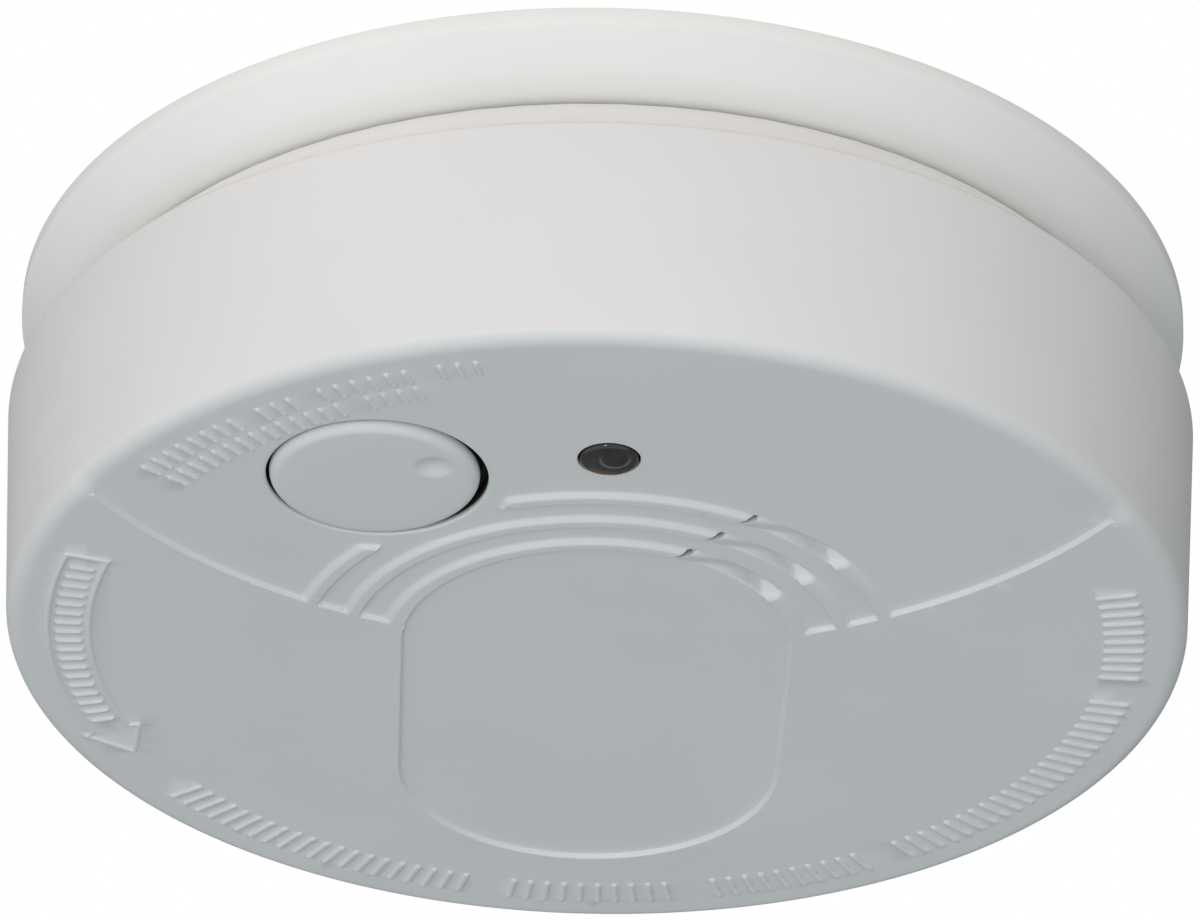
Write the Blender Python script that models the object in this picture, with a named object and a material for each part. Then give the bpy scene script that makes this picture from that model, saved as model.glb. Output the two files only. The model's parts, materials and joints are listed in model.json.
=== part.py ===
"""Battery smoke alarm for a ceiling, with its mounting base.

Frame: metres, +Z up. The origin is the centre of the base's back face, so the ceiling is the plane Z = 0
and the alarm hangs below it. +Y points away from the test button's side.
"""

import math

import bmesh
import bpy

MM = 0.001

# ---------------------------------------------------------------- driving dimensions
BODY_RADIUS = 52.5 * MM
CLEARANCE = 0.3 * MM
ROUND_STEPS = 72
SMALL_STEPS = 20

# Mounting base: a dish with a tapered skirt.
BASE_RADIUS = 51.9 * MM
BASE_LIP = 1.7 * MM
BASE_SKIRT_RADIUS = 47.4 * MM
BASE_DEPTH = 6.5 * MM
BASE_PLATE = 2.2 * MM
KEYHOLE_SPACING = 60.0 * MM
KEYHOLE_HEAD_RADIUS = 4.2 * MM
KEYHOLE_SHANK_RADIUS = 2.2 * MM
KEYHOLE_LENGTH = 8.0 * MM

# Bayonet: three tabs on the body turn over three hooks in the base.
BAYONET_ANGLES = (40.0, 160.0, 280.0)
BAYONET_HALF_SPAN = 9.0
COLLAR_INNER = 40.0 * MM
COLLAR_OUTER = 42.0 * MM
TAB_OUTER = 44.0 * MM
TAB_TOP = -3.4 * MM
TAB_BOTTOM = -4.4 * MM
HOOK_FOOT_TOP = -4.8 * MM
HOOK_FOOT_BOTTOM = -6.0 * MM

# Rear housing: flat back, a raised seat for the base's skirt, a sloping shoulder and a spigot inside the cover.
BACK_Z = -7.4 * MM
SEAT_Z = -6.8 * MM
HOUSING_WALL = 1.8 * MM
SPIGOT_RADIUS = 50.1 * MM
SPIGOT_END_Z = -15.0 * MM

# Front cover: a drafted cup.
RIM_Z = -12.0 * MM
COVER_WALL = 2.0 * MM
WALL_FOOT_RADIUS = 51.6 * MM
EDGE_FILLET = 1.7 * MM
FACE_Z = -32.9 * MM
FACE_INNER_Z = -31.1 * MM
STEP_DEPTH = 0.6 * MM
STEP_RADIUS = 50.5 * MM
STEP_CENTRE_Y = -52.0 * MM
PANEL_RADIUS = 17.4 * MM
PANEL_LENGTH = 21.8 * MM
RIBS = ((25.3 * MM, 27.0 * MM, -62.5), (21.4 * MM, 23.1 * MM, -65.5), (PANEL_RADIUS, 19.2 * MM, -69.0))
RIB_START = -200.0
RIB_END = 20.0
SCOOP_END = -39.0
SCOOP_DEPTH = 1.1 * MM
RIB_GAP = (-139.0, -108.5)

# Test button and its switch.
BUTTON_X = -19.4 * MM
BUTTON_Y = -27.7 * MM
BUTTON_RADIUS = 8.7 * MM
BUTTON_HOLE_RADIUS = 9.2 * MM
BUTTON_FACE_Z = -32.5 * MM
BUTTON_FLANGE_RADIUS = 10.6 * MM
BUTTON_FLANGE_Z = (-30.8 * MM, -29.8 * MM)
BUTTON_NUB_Z = -29.3 * MM
SWITCH_SIDE = 6.0 * MM
SWITCH_END_Z = -27.5 * MM
PLUNGER_RADIUS = 1.7 * MM
PLUNGER_TIP_Z = -29.0 * MM

# Indicator lamp.
LAMP_Y = -32.0 * MM
LAMP_RADIUS = 2.5 * MM
LAMP_HOLE_RADIUS = 2.8 * MM
LAMP_TIP_Z = -32.3 * MM

# Circuit board: a disc cut straight beside the battery bay.
BOARD_RADIUS = 46.0 * MM
BOARD_CHORD_Y = 5.6 * MM
BOARD_Z = (-23.9 * MM, -22.3 * MM)
ABOVE_BOARD = BOARD_Z[1] + CLEARANCE
BELOW_BOARD = BOARD_Z[0] - CLEARANCE
BOARD_SCREWS = ((-40.0 * MM, -2.0 * MM), (40.0 * MM, -2.0 * MM), (12.0 * MM, -40.5 * MM))

# Battery bay and battery, lying along X.
BATTERY_SIZE = (46.4 * MM, 26.5 * MM, 17.5 * MM)
BATTERY_END_X = 21.2 * MM
BATTERY_Y = 21.4 * MM
BATTERY_TOP_Z = -8.0 * MM
BAY_X = (-25.6 * MM, 29.5 * MM)
BAY_Y = (7.8 * MM, 35.0 * MM)
BAY_FLOOR_Z = -25.8 * MM
BAY_WALL = 1.4 * MM
TERMINAL_SPACING = 12.7 * MM
TERMINAL_LENGTH = 2.7 * MM

# Optical chamber on the board's back.
CHAMBER_Y = -12.5 * MM
CHAMBER_RADIUS = 17.5 * MM
CHAMBER_TOP_Z = -9.7 * MM
OPTIC_ANGLES = (200.0, 335.0)
OPTIC_Z = -16.6 * MM
OPTIC_RADIUS = 2.5 * MM

# Sounder below the board.
HORN_X = 18.0 * MM
HORN_Y = -15.0 * MM
HORN_RADIUS = 14.5 * MM


# ---------------------------------------------------------------- scene and materials
def clear_scene():
    for obj in list(bpy.data.objects):
        bpy.data.objects.remove(obj, do_unlink=True)


def make_material(name, colour, roughness, metallic=0.0):
    material = bpy.data.materials.new(name)
    material.use_nodes = True
    shader = material.node_tree.nodes["Principled BSDF"]
    shader.inputs["Base Color"].default_value = (*colour, 1.0)
    shader.inputs["Roughness"].default_value = roughness
    shader.inputs["Metallic"].default_value = metallic
    return material


def add_empty(name, location, parent=None):
    empty = bpy.data.objects.new(name, None)
    empty.location = location
    empty.parent = parent
    bpy.context.scene.collection.objects.link(empty)
    return empty


def add_object(name, bm, material=None, parent=None, location=(0.0, 0.0, 0.0), rotation=(0.0, 0.0, 0.0)):
    """Turns a bmesh into an object. Without a material it is a helper that isn't rendered."""
    bmesh.ops.recalc_face_normals(bm, faces=bm.faces)
    mesh = bpy.data.meshes.new(name)
    bm.to_mesh(mesh)
    bm.free()
    mesh.shade_smooth()
    mesh.set_sharp_from_angle(angle=math.radians(35))
    obj = bpy.data.objects.new(name, mesh)
    obj.location = location
    obj.rotation_euler = rotation
    obj.parent = parent
    if material:
        mesh.materials.append(material)
    else:
        obj.hide_render = True
        obj.display_type = "WIRE"
    bpy.context.scene.collection.objects.link(obj)
    return obj


def combine(obj, operation, other):
    modifier = obj.modifiers.new(f"{operation.title()} {other.name}", "BOOLEAN")
    modifier.operation = operation
    modifier.solver = "EXACT"
    modifier.object = other


def cut(obj, name, bm, **place):
    combine(obj, "DIFFERENCE", add_object(name, bm, parent=obj.parent, **place))


def fuse(obj, name, bm, **place):
    combine(obj, "UNION", add_object(name, bm, parent=obj.parent, **place))


# ---------------------------------------------------------------- shape helpers
def polar(radius, degrees, centre=(0.0, 0.0)):
    angle = math.radians(degrees)
    return (centre[0] + radius * math.cos(angle), centre[1] + radius * math.sin(angle))


def arc(centre, radius, start, end, steps):
    """Points along an arc, both ends included."""
    return [polar(radius, start + (end - start) * i / steps, centre) for i in range(steps + 1)]


def add_turned(bm, profile, steps=ROUND_STEPS):
    """Turns a closed profile of (radius, z) points all the way round Z."""
    verts = [bm.verts.new((radius, 0.0, z)) for radius, z in profile]
    edges = [bm.edges.new((a, b)) for a, b in zip(verts, verts[1:] + verts[:1])]
    bmesh.ops.spin(
        bm, geom=verts + edges, cent=(0, 0, 0), axis=(0, 0, 1), angle=math.tau, steps=steps, use_merge=True
    )
    bmesh.ops.remove_doubles(bm, verts=bm.verts, dist=1e-7)
    on_axis = [e for e in bm.edges if max(abs(v.co.x) + abs(v.co.y) for v in e.verts) < 1e-9]
    bmesh.ops.delete(bm, geom=on_axis, context="EDGES_FACES")
    return bm


def turned(profile, steps=ROUND_STEPS):
    return add_turned(bmesh.new(), profile, steps)


def add_sector(bm, profile, start, end, step_degrees=5.0):
    """Turns a closed profile of (radius, z) points from one angle to another, with flat ends."""
    steps = max(1, round(abs(end - start) / step_degrees))
    first = [polar(radius, start) + (z,) for radius, z in profile]
    face = bm.faces.new([bm.verts.new(point) for point in first])
    geom = [face, *face.edges, *face.verts]
    bmesh.ops.spin(
        bm, geom=geom, cent=(0, 0, 0), axis=(0, 0, 1), angle=math.radians(end - start), steps=steps, use_duplicate=False
    )
    return bm


def rectangle(inner, outer, low, high):
    return [(inner, low), (outer, low), (outer, high), (inner, high)]


def add_prism(bm, outline, low, high):
    face = bm.faces.new([bm.verts.new((x, y, low)) for x, y in outline])
    made = bmesh.ops.extrude_face_region(bm, geom=[face])["geom"]
    moved = [v for v in made if isinstance(v, bmesh.types.BMVert)]
    bmesh.ops.translate(bm, verts=moved, vec=(0, 0, high - low))
    return bm


def prism(outline, low, high):
    return add_prism(bmesh.new(), outline, low, high)


def add_box(bm, x, y, z):
    """A box from its (low, high) pairs along X, Y and Z."""
    return add_prism(bm, [(x[0], y[0]), (x[1], y[0]), (x[1], y[1]), (x[0], y[1])], *z)


def box(x, y, z):
    return add_box(bmesh.new(), x, y, z)


def add_cylinder(bm, centre, radius, low, high, steps=SMALL_STEPS):
    outline = [polar(radius, 360.0 * i / steps, centre) for i in range(steps)]
    return add_prism(bm, outline, low, high)


def cylinder(centre, radius, low, high, steps=SMALL_STEPS):
    return add_cylinder(bmesh.new(), centre, radius, low, high, steps)


def around(value, half):
    return (value - half, value + half)


def add_turned_box(bm, centre, degrees, along, half_width, z):
    """A box that runs along a direction in plan, from along[0] to along[1] out of its centre."""
    angle = math.radians(degrees)
    direction = (math.cos(angle), math.sin(angle))
    outline = []
    for u, v in ((along[0], -half_width), (along[1], -half_width), (along[1], half_width), (along[0], half_width)):
        x = centre[0] + u * direction[0] - v * direction[1]
        y = centre[1] + u * direction[1] + v * direction[0]
        outline.append((x, y))
    return add_prism(bm, outline, *z)


def split_bodies(bm):
    """One bmesh for each separate body of this one."""
    bodies = []
    done = set()
    bm.verts.index_update()
    for seed in bm.verts:
        if seed in done:
            continue
        island = {seed}
        front = {seed}
        while front:
            front = {e.other_vert(v) for v in front for e in v.link_edges} - island
            island |= front
        done |= island
        piece = bmesh.new()
        made = {v: piece.verts.new(v.co) for v in sorted(island, key=lambda v: v.index)}
        for face in bm.faces:
            if face.verts[0] in island:
                piece.faces.new([made[v] for v in face.verts])
        bodies.append(piece)
    bm.free()
    return bodies


# ---------------------------------------------------------------- mounting base
def keyhole_outline(centre_x):
    """A round head hole that narrows into a slot for the screw's shank, running along +Y."""
    side = math.degrees(math.asin(KEYHOLE_SHANK_RADIUS / KEYHOLE_HEAD_RADIUS))
    head = arc((centre_x, 0.0), KEYHOLE_HEAD_RADIUS, 90.0 + side, 450.0 - side, 16)
    end = arc((centre_x, KEYHOLE_LENGTH), KEYHOLE_SHANK_RADIUS, 0.0, 180.0, 8)
    return head + end


def make_mounting_base(material):
    skirt_wall = 2.25 * MM
    inner_top = BASE_RADIUS - 3.6 * MM
    profile = [
        (0.0, 0.0),
        (BASE_RADIUS, 0.0),
        (BASE_RADIUS, -BASE_LIP),
        (BASE_SKIRT_RADIUS, -BASE_DEPTH),
        (BASE_SKIRT_RADIUS - skirt_wall, -BASE_DEPTH),
        (inner_top, -BASE_PLATE),
        (0.0, -BASE_PLATE),
    ]
    base = add_object("mounting_base", turned(profile), material)
    leg_inner = TAB_OUTER + 0.4 * MM
    leg_outer = BASE_SKIRT_RADIUS - 0.85 * MM
    leg_top = -BASE_PLATE + 0.7 * MM
    foot_inner = COLLAR_OUTER + CLEARANCE
    hook_profile = [
        (leg_outer, leg_top),
        (leg_outer, HOOK_FOOT_BOTTOM),
        (foot_inner, HOOK_FOOT_BOTTOM),
        (foot_inner, HOOK_FOOT_TOP),
        (leg_inner, HOOK_FOOT_TOP),
        (leg_inner, leg_top),
    ]
    hooks = bmesh.new()
    stops = bmesh.new()
    for angle in BAYONET_ANGLES:
        stop_start = angle + BAYONET_HALF_SPAN + 0.5
        add_sector(hooks, hook_profile, angle - BAYONET_HALF_SPAN, stop_start + 1.0)
        add_sector(stops, rectangle(foot_inner, leg_outer, HOOK_FOOT_BOTTOM, leg_top), stop_start, stop_start + 3.0)
    fuse(base, "hooks_shape", hooks)
    fuse(base, "stops_shape", stops)
    keyholes = bmesh.new()
    for side in (-1, 1):
        add_prism(keyholes, keyhole_outline(side * KEYHOLE_SPACING / 2), -BASE_PLATE - 1.0 * MM, 1.0 * MM)
    cut(base, "keyholes_shape", keyholes)


# ---------------------------------------------------------------- rear housing
def make_rear_housing(material, body):
    flange_z = RIM_Z + CLEARANCE
    profile = [
        (0.0, BACK_Z),
        (BASE_SKIRT_RADIUS - 2.6 * MM, BACK_Z),
        (BASE_SKIRT_RADIUS - 2.1 * MM, SEAT_Z),
        (BASE_SKIRT_RADIUS, SEAT_Z),
        (BODY_RADIUS - CLEARANCE, flange_z),
        (SPIGOT_RADIUS, flange_z),
        (SPIGOT_RADIUS, SPIGOT_END_Z),
        (SPIGOT_RADIUS - HOUSING_WALL, SPIGOT_END_Z),
        (SPIGOT_RADIUS - HOUSING_WALL, flange_z),
        (BASE_SKIRT_RADIUS - 1.4 * MM, BACK_Z - HOUSING_WALL),
        (0.0, BACK_Z - HOUSING_WALL),
    ]
    housing = add_object("rear_housing", turned(profile), material, body)
    collar = turned(rectangle(COLLAR_INNER, COLLAR_OUTER, BACK_Z - 0.8 * MM, TAB_TOP), 60)
    fuse(housing, "collar_shape", collar)
    tabs = bmesh.new()
    for angle in BAYONET_ANGLES:
        tab = rectangle(COLLAR_OUTER - 0.8 * MM, TAB_OUTER, TAB_BOTTOM, TAB_TOP - 0.1 * MM)
        add_sector(tabs, tab, angle - BAYONET_HALF_SPAN, angle + BAYONET_HALF_SPAN)
    fuse(housing, "tabs_shape", tabs)

    outer_x = (BAY_X[0] - BAY_WALL, BAY_X[1] + BAY_WALL)
    outer_y = (BAY_Y[0] - BAY_WALL, BAY_Y[1] + BAY_WALL)
    fuse(housing, "bay_shape", box(outer_x, outer_y, (BAY_FLOOR_Z - BAY_WALL, BACK_Z - 0.9 * MM)))
    cut(housing, "bay_pocket_shape", box(BAY_X, BAY_Y, (BAY_FLOOR_Z, BACK_Z + 1.0 * MM)))
    lead_notch = box((23.4 * MM, 28.4 * MM), (outer_y[0] - 1.0 * MM, BAY_Y[0] + 1.0 * MM), (-13.0 * MM, -10.0 * MM))
    cut(housing, "lead_notch_shape", lead_notch)

    inlets = bmesh.new()
    for side in (-1, 1):
        for row in range(4):
            y = (-20.0 + 5.0 * row) * MM
            ends = sorted((side * 22.5 * MM, side * 32.0 * MM))
            add_box(inlets, ends, around(y, 1.5 * MM), (BACK_Z - 3.0 * MM, BACK_Z + 1.0 * MM))
    cut(housing, "smoke_inlets_shape", inlets)


# ---------------------------------------------------------------- front cover
def cover_profile():
    inner_rim = BODY_RADIUS - COVER_WALL
    inner_foot = WALL_FOOT_RADIUS - COVER_WALL
    fillet_centre = (WALL_FOOT_RADIUS - EDGE_FILLET, FACE_Z + EDGE_FILLET)
    fillet = arc(fillet_centre, EDGE_FILLET, -90.0, 0.0, 4)
    outside = [(0.0, FACE_Z), *fillet, (BODY_RADIUS, RIM_Z)]
    inside = [(inner_rim, RIM_Z), (inner_foot, FACE_INNER_Z), (0.0, FACE_INNER_Z)]
    return outside + inside


def step_recess():
    """The sunk crescent: a disc centred outside the face, from which the ribs and all inside them are left out."""
    floor = FACE_Z + STEP_DEPTH
    recess = add_object(
        "step_recess_shape",
        cylinder((0.0, STEP_CENTRE_Y), STEP_RADIUS, FACE_Z - 1.0 * MM, floor, ROUND_STEPS),
    )
    ribs = bmesh.new()
    low, high = FACE_Z - 2.0 * MM, floor + 1.0 * MM
    outer_rib, middle_rib, inner_rib = RIBS
    for start, end in ((RIB_START, RIB_GAP[0]), (RIB_GAP[1], RIB_END)):
        add_sector(ribs, rectangle(*outer_rib[:2], low, high), start, end)
    add_sector(ribs, rectangle(*middle_rib[:2], low, high), RIB_START, RIB_END)
    add_cylinder(ribs, (0.0, 0.0), inner_rib[1], low, high, ROUND_STEPS)
    combine(recess, "DIFFERENCE", add_object("ribs_shape", ribs))
    return recess


def make_front_cover(material, body):
    cover = add_object("front_cover", turned(cover_profile()), material, body)
    bosses = bmesh.new()
    pilots = bmesh.new()
    for x, y in BOARD_SCREWS:
        add_cylinder(bosses, (x, y), 3.0 * MM, FACE_INNER_Z - 0.6 * MM, BELOW_BOARD)
        add_cylinder(pilots, (x, y), 1.3 * MM, FACE_INNER_Z + 1.0 * MM, BELOW_BOARD + 1.0 * MM, 12)
    fuse(cover, "bosses_shape", bosses)
    cut(cover, "pilots_shape", pilots)

    combine(cover, "DIFFERENCE", step_recess())
    far = arc((0.0, PANEL_LENGTH), PANEL_RADIUS, 0.0, 180.0, 18)
    near = arc((0.0, 0.0), PANEL_RADIUS, 180.0, 360.0, 18)
    cut(cover, "panel_shape", prism(far + near, FACE_Z - 1.0 * MM, FACE_Z + STEP_DEPTH))

    scoops = bmesh.new()
    outlets = bmesh.new()
    for inner, outer, start in RIBS:
        inner -= 0.3 * MM
        scoop = rectangle(inner, outer, FACE_Z - 1.0 * MM, FACE_Z + SCOOP_DEPTH)
        add_sector(scoops, scoop, start, SCOOP_END)
        outlet = rectangle(inner + 0.6 * MM, outer - 0.3 * MM, FACE_Z - 1.0 * MM, FACE_INNER_Z + 1.0 * MM)
        add_sector(outlets, outlet, SCOOP_END - 6.0, SCOOP_END - 1.0)
    cut(cover, "scoops_shape", scoops)
    cut(cover, "sound_outlets_shape", outlets)

    holes = bmesh.new()
    low, high = FACE_Z - 1.0 * MM, FACE_INNER_Z + 1.0 * MM
    add_cylinder(holes, (BUTTON_X, BUTTON_Y), BUTTON_HOLE_RADIUS, low, high, 40)
    add_cylinder(holes, (0.0, LAMP_Y), LAMP_HOLE_RADIUS, low, high, 24)
    cut(cover, "face_holes_shape", holes)


# ---------------------------------------------------------------- test button and switch
def make_test_button(material, slide):
    edge = 0.7 * MM
    flange_low, flange_high = BUTTON_FLANGE_Z
    rounded = arc((BUTTON_RADIUS - edge, BUTTON_FACE_Z + edge), edge, -90.0, 0.0, 3)
    profile = [
        (0.0, BUTTON_FACE_Z),
        *rounded,
        (BUTTON_RADIUS, flange_low),
        (BUTTON_FLANGE_RADIUS, flange_low),
        (BUTTON_FLANGE_RADIUS, flange_high),
        (2.0 * MM, flange_high),
        (2.0 * MM, BUTTON_NUB_Z),
        (0.0, BUTTON_NUB_Z),
    ]
    button = add_object("test_button", turned(profile, 40), material, slide)
    dish_radius = 4.0 * MM
    dish = bmesh.new()
    bmesh.ops.create_uvsphere(dish, u_segments=16, v_segments=12, radius=dish_radius)
    cut(button, "dish_shape", dish, location=(4.75 * MM, -2.85 * MM, BUTTON_FACE_Z - dish_radius + 0.35 * MM))


def make_button_spring(material, slide):
    """A coil between the board and the button's flange, round the switch."""
    coil_radius = 6.3 * MM
    wire_radius = 0.3 * MM
    turns = 4
    points_per_turn = 14
    low = BUTTON_FLANGE_Z[1] + wire_radius + CLEARANCE
    high = BELOW_BOARD - wire_radius
    curve = bpy.data.curves.new("button_spring", "CURVE")
    curve.dimensions = "3D"
    curve.bevel_depth = wire_radius
    curve.bevel_resolution = 1
    curve.use_fill_caps = True
    spline = curve.splines.new("POLY")
    count = turns * points_per_turn + 1
    spline.points.add(count - 1)
    for i in range(count):
        x, y = polar(coil_radius, 360.0 * i / points_per_turn)
        spline.points[i].co = (x, y, low + (high - low) * i / (count - 1), 1.0)
    curve.materials.append(material)
    spring = bpy.data.objects.new("button_spring", curve)
    spring.parent = slide
    bpy.context.scene.collection.objects.link(spring)


def make_switch(housing_material, plunger_material, body, plunger_slide):
    half = SWITCH_SIDE / 2
    bore_radius = PLUNGER_RADIUS + CLEARANCE
    shell = box(around(BUTTON_X, half), around(BUTTON_Y, half), (SWITCH_END_Z, BELOW_BOARD))
    housing = add_object("switch_housing", shell, housing_material, body)
    bore = cylinder((BUTTON_X, BUTTON_Y), bore_radius, SWITCH_END_Z - 1.0 * MM, SWITCH_END_Z + 2.3 * MM)
    cut(housing, "switch_bore_shape", bore)
    plunger_root = SWITCH_END_Z + 0.9 * MM
    stem = cylinder((0.0, 0.0), PLUNGER_RADIUS, PLUNGER_TIP_Z, plunger_root)
    add_object("switch_plunger", stem, plunger_material, plunger_slide)


# ---------------------------------------------------------------- indicator lamp
def make_lamp(lens_material, wire_material, body):
    flange_z = BELOW_BOARD - 0.8 * MM
    dome = arc((0.0, LAMP_TIP_Z + LAMP_RADIUS), LAMP_RADIUS, -90.0, 0.0, 5)
    profile = [
        *dome,
        (LAMP_RADIUS, flange_z),
        (LAMP_RADIUS + 0.35 * MM, flange_z),
        (LAMP_RADIUS + 0.35 * MM, BELOW_BOARD),
        (0.0, BELOW_BOARD),
    ]
    add_object("indicator_led", turned(profile, SMALL_STEPS), lens_material, body, (0.0, LAMP_Y, 0.0))
    for name, side in (("led_lead_anode", 1), ("led_lead_cathode", -1)):
        wire = cylinder((0.0, 0.0), 0.3 * MM, BOARD_Z[0], BOARD_Z[1] + 1.4 * MM, 8)
        add_object(name, wire, wire_material, body, (side * 1.27 * MM, LAMP_Y, 0.0))


# ---------------------------------------------------------------- circuit board and what is on it
def make_circuit_board(material, body):
    corner = math.degrees(math.asin(BOARD_CHORD_Y / BOARD_RADIUS))
    outline = arc((0.0, 0.0), BOARD_RADIUS, -180.0 - corner, corner, 48)
    board = add_object("circuit_board", prism(outline, *BOARD_Z), material, body)
    holes = bmesh.new()
    low, high = BOARD_Z[0] - 1.0 * MM, BOARD_Z[1] + 1.0 * MM
    for x, y in BOARD_SCREWS:
        add_cylinder(holes, (x, y), 1.5 * MM, low, high, 12)
    for side in (-1, 1):
        add_cylinder(holes, (side * 1.27 * MM, LAMP_Y), 0.65 * MM, low, high, 8)
    cut(board, "board_holes_shape", holes)


def make_board_screws(material, body):
    for number, (x, y) in enumerate(BOARD_SCREWS, start=1):
        head_low = ABOVE_BOARD
        head_high = head_low + 1.6 * MM
        shank_end = FACE_INNER_Z + 1.6 * MM
        profile = [
            (0.0, head_high),
            (1.8 * MM, head_high),
            (2.6 * MM, head_high - 0.7 * MM),
            (2.6 * MM, head_low),
            (1.0 * MM, head_low),
            (1.0 * MM, shank_end + 0.8 * MM),
            (0.0, shank_end),
        ]
        screw = add_object(f"board_screw_{number}", turned(profile, 12), material, body, (x, y, 0.0))
        cross = bmesh.new()
        add_box(cross, around(0.0, 1.2 * MM), around(0.0, 0.25 * MM), (head_high - 0.7 * MM, head_high + 1.0 * MM))
        cut(screw, f"screw_slot_{number}_shape", cross, location=(x, y, 0.0))


def make_board_parts(materials, body):
    chip = box((29.8 * MM, 36.2 * MM), (-19.8 * MM, -0.4 * MM), (ABOVE_BOARD, ABOVE_BOARD + 3.5 * MM))
    add_object("control_ic", chip, materials["black_plastic"], body)

    coil_profile = [
        (0.0, 0.0),
        (4.5 * MM, 0.0),
        (4.5 * MM, 1.2 * MM),
        (3.4 * MM, 1.2 * MM),
        (3.4 * MM, 6.8 * MM),
        (4.5 * MM, 6.8 * MM),
        (4.5 * MM, 8.0 * MM),
        (0.0, 8.0 * MM),
    ]
    place = (-33.0 * MM, -3.5 * MM, ABOVE_BOARD)
    add_object("booster_coil", turned(coil_profile, SMALL_STEPS), materials["ferrite"], body, place)

    for name, x, radius, height in (("capacitor_large", 29.0, 4.0, 11.0), ("capacitor_small", -29.0, 2.5, 7.0)):
        radius, height = radius * MM, height * MM
        profile = [
            (0.0, 0.0),
            (radius, 0.0),
            (radius, 0.8 * MM),
            (radius - 0.3 * MM, 1.1 * MM),
            (radius, 1.4 * MM),
            (radius, height - 0.3 * MM),
            (radius - 0.3 * MM, height),
            (0.0, height),
        ]
        place = (x * MM, -28.0 * MM, ABOVE_BOARD)
        add_object(name, turned(profile, SMALL_STEPS), materials["capacitor_sleeve"], body, place)

    for number in (1, 2, 3):
        body_half = 3.2 * MM
        lead_end = 5.0 * MM
        bead = 1.15 * MM
        waist = 0.95 * MM
        wire = 0.3 * MM
        profile = [
            (0.0, -lead_end),
            (wire, -lead_end),
            (wire, -body_half),
            (bead, -body_half + 0.4 * MM),
            (bead, -1.6 * MM),
            (waist, -1.2 * MM),
            (waist, 1.2 * MM),
            (bead, 1.6 * MM),
            (bead, body_half - 0.4 * MM),
            (wire, body_half),
            (wire, lead_end),
            (0.0, lead_end),
        ]
        x = (-22.0 - 4.5 * number) * MM
        y = -15.0 * MM
        z = ABOVE_BOARD + 1.4 * MM
        turn = (math.pi / 2, 0.0, 0.0)
        resistor = add_object(f"resistor_{number}", turned(profile, 12), materials["resistor"], body, (x, y, z), turn)
        legs = bmesh.new()
        for side in (-1, 1):
            add_cylinder(legs, (x, y + side * (lead_end - 0.3 * MM)), 0.28 * MM, ABOVE_BOARD, z, 8)
        fuse(resistor, f"resistor_legs_{number}_shape", legs)


# ---------------------------------------------------------------- optical chamber
def make_chamber(materials, body):
    centre = (0.0, CHAMBER_Y)
    floor_z = (ABOVE_BOARD, ABOVE_BOARD + 1.2 * MM)
    disc = cylinder(centre, CHAMBER_RADIUS, *floor_z, 48)
    floor = add_object("chamber_base", disc, materials["black_plastic"], body)
    seats = bmesh.new()
    channels = bmesh.new()
    seat_z = (floor_z[0] + 0.6 * MM, OPTIC_Z + 1.6 * MM)
    for angle in OPTIC_ANGLES:
        add_turned_box(seats, centre, angle, (5.5 * MM, 12.6 * MM), 4.0 * MM, seat_z)
        gap = OPTIC_RADIUS + CLEARANCE
        add_turned_box(channels, centre, angle, (3.5 * MM, 14.5 * MM), gap, (OPTIC_Z - gap, OPTIC_Z + 4.0 * MM))
    fuse(floor, "optic_seats_shape", seats)
    cut(floor, "optic_channels_shape", channels)

    lid_z = (CHAMBER_TOP_Z - 1.2 * MM, CHAMBER_TOP_Z)
    lid = cylinder(centre, CHAMBER_RADIUS, *lid_z, 48)
    labyrinth = add_object("chamber_labyrinth", lid, materials["black_plastic"], body)
    vanes = bmesh.new()
    vane_count = 20
    for i in range(vane_count):
        angle = 360.0 * i / vane_count
        foot = polar(CHAMBER_RADIUS - 2.2 * MM, angle, centre)
        vane_z = (floor_z[1] + CLEARANCE, CHAMBER_TOP_Z - 0.6 * MM)
        add_turned_box(vanes, foot, angle + 50.0, (-2.0 * MM, 2.0 * MM), 0.4 * MM, vane_z)
    fuse(labyrinth, "vanes_shape", vanes)

    screen_inner = CHAMBER_RADIUS + 0.4 * MM
    screen_profile = rectangle(screen_inner, screen_inner + 0.4 * MM, floor_z[0], CHAMBER_TOP_Z)
    screen = add_object("insect_screen", turned(screen_profile, 48), materials["steel"], body, (*centre, 0.0))
    windows = bmesh.new()
    for i in range(16):
        reach = CHAMBER_RADIUS + 2.0 * MM
        angle = 180.0 * i / 16 + 3.75
        add_turned_box(windows, centre, angle, (-reach, reach), 1.3 * MM, (floor_z[1], CHAMBER_TOP_Z - 1.2 * MM))
    for i, window in enumerate(split_bodies(windows)):
        cut(screen, f"screen_window_{i}_shape", window)

    for name, angle in zip(("infrared_emitter", "photodiode"), OPTIC_ANGLES):
        back = polar(12.2 * MM, angle, centre)
        dome = arc((0.0, 5.0 * MM), OPTIC_RADIUS, 0.0, 90.0, 4)
        profile = [(0.0, 0.0), (OPTIC_RADIUS, 0.0), *dome]
        turn = (0.0, -math.pi / 2, math.radians(angle))
        bm = turned(profile, SMALL_STEPS)
        add_object(name, bm, materials[name], body, (*back, OPTIC_Z), turn)


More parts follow.
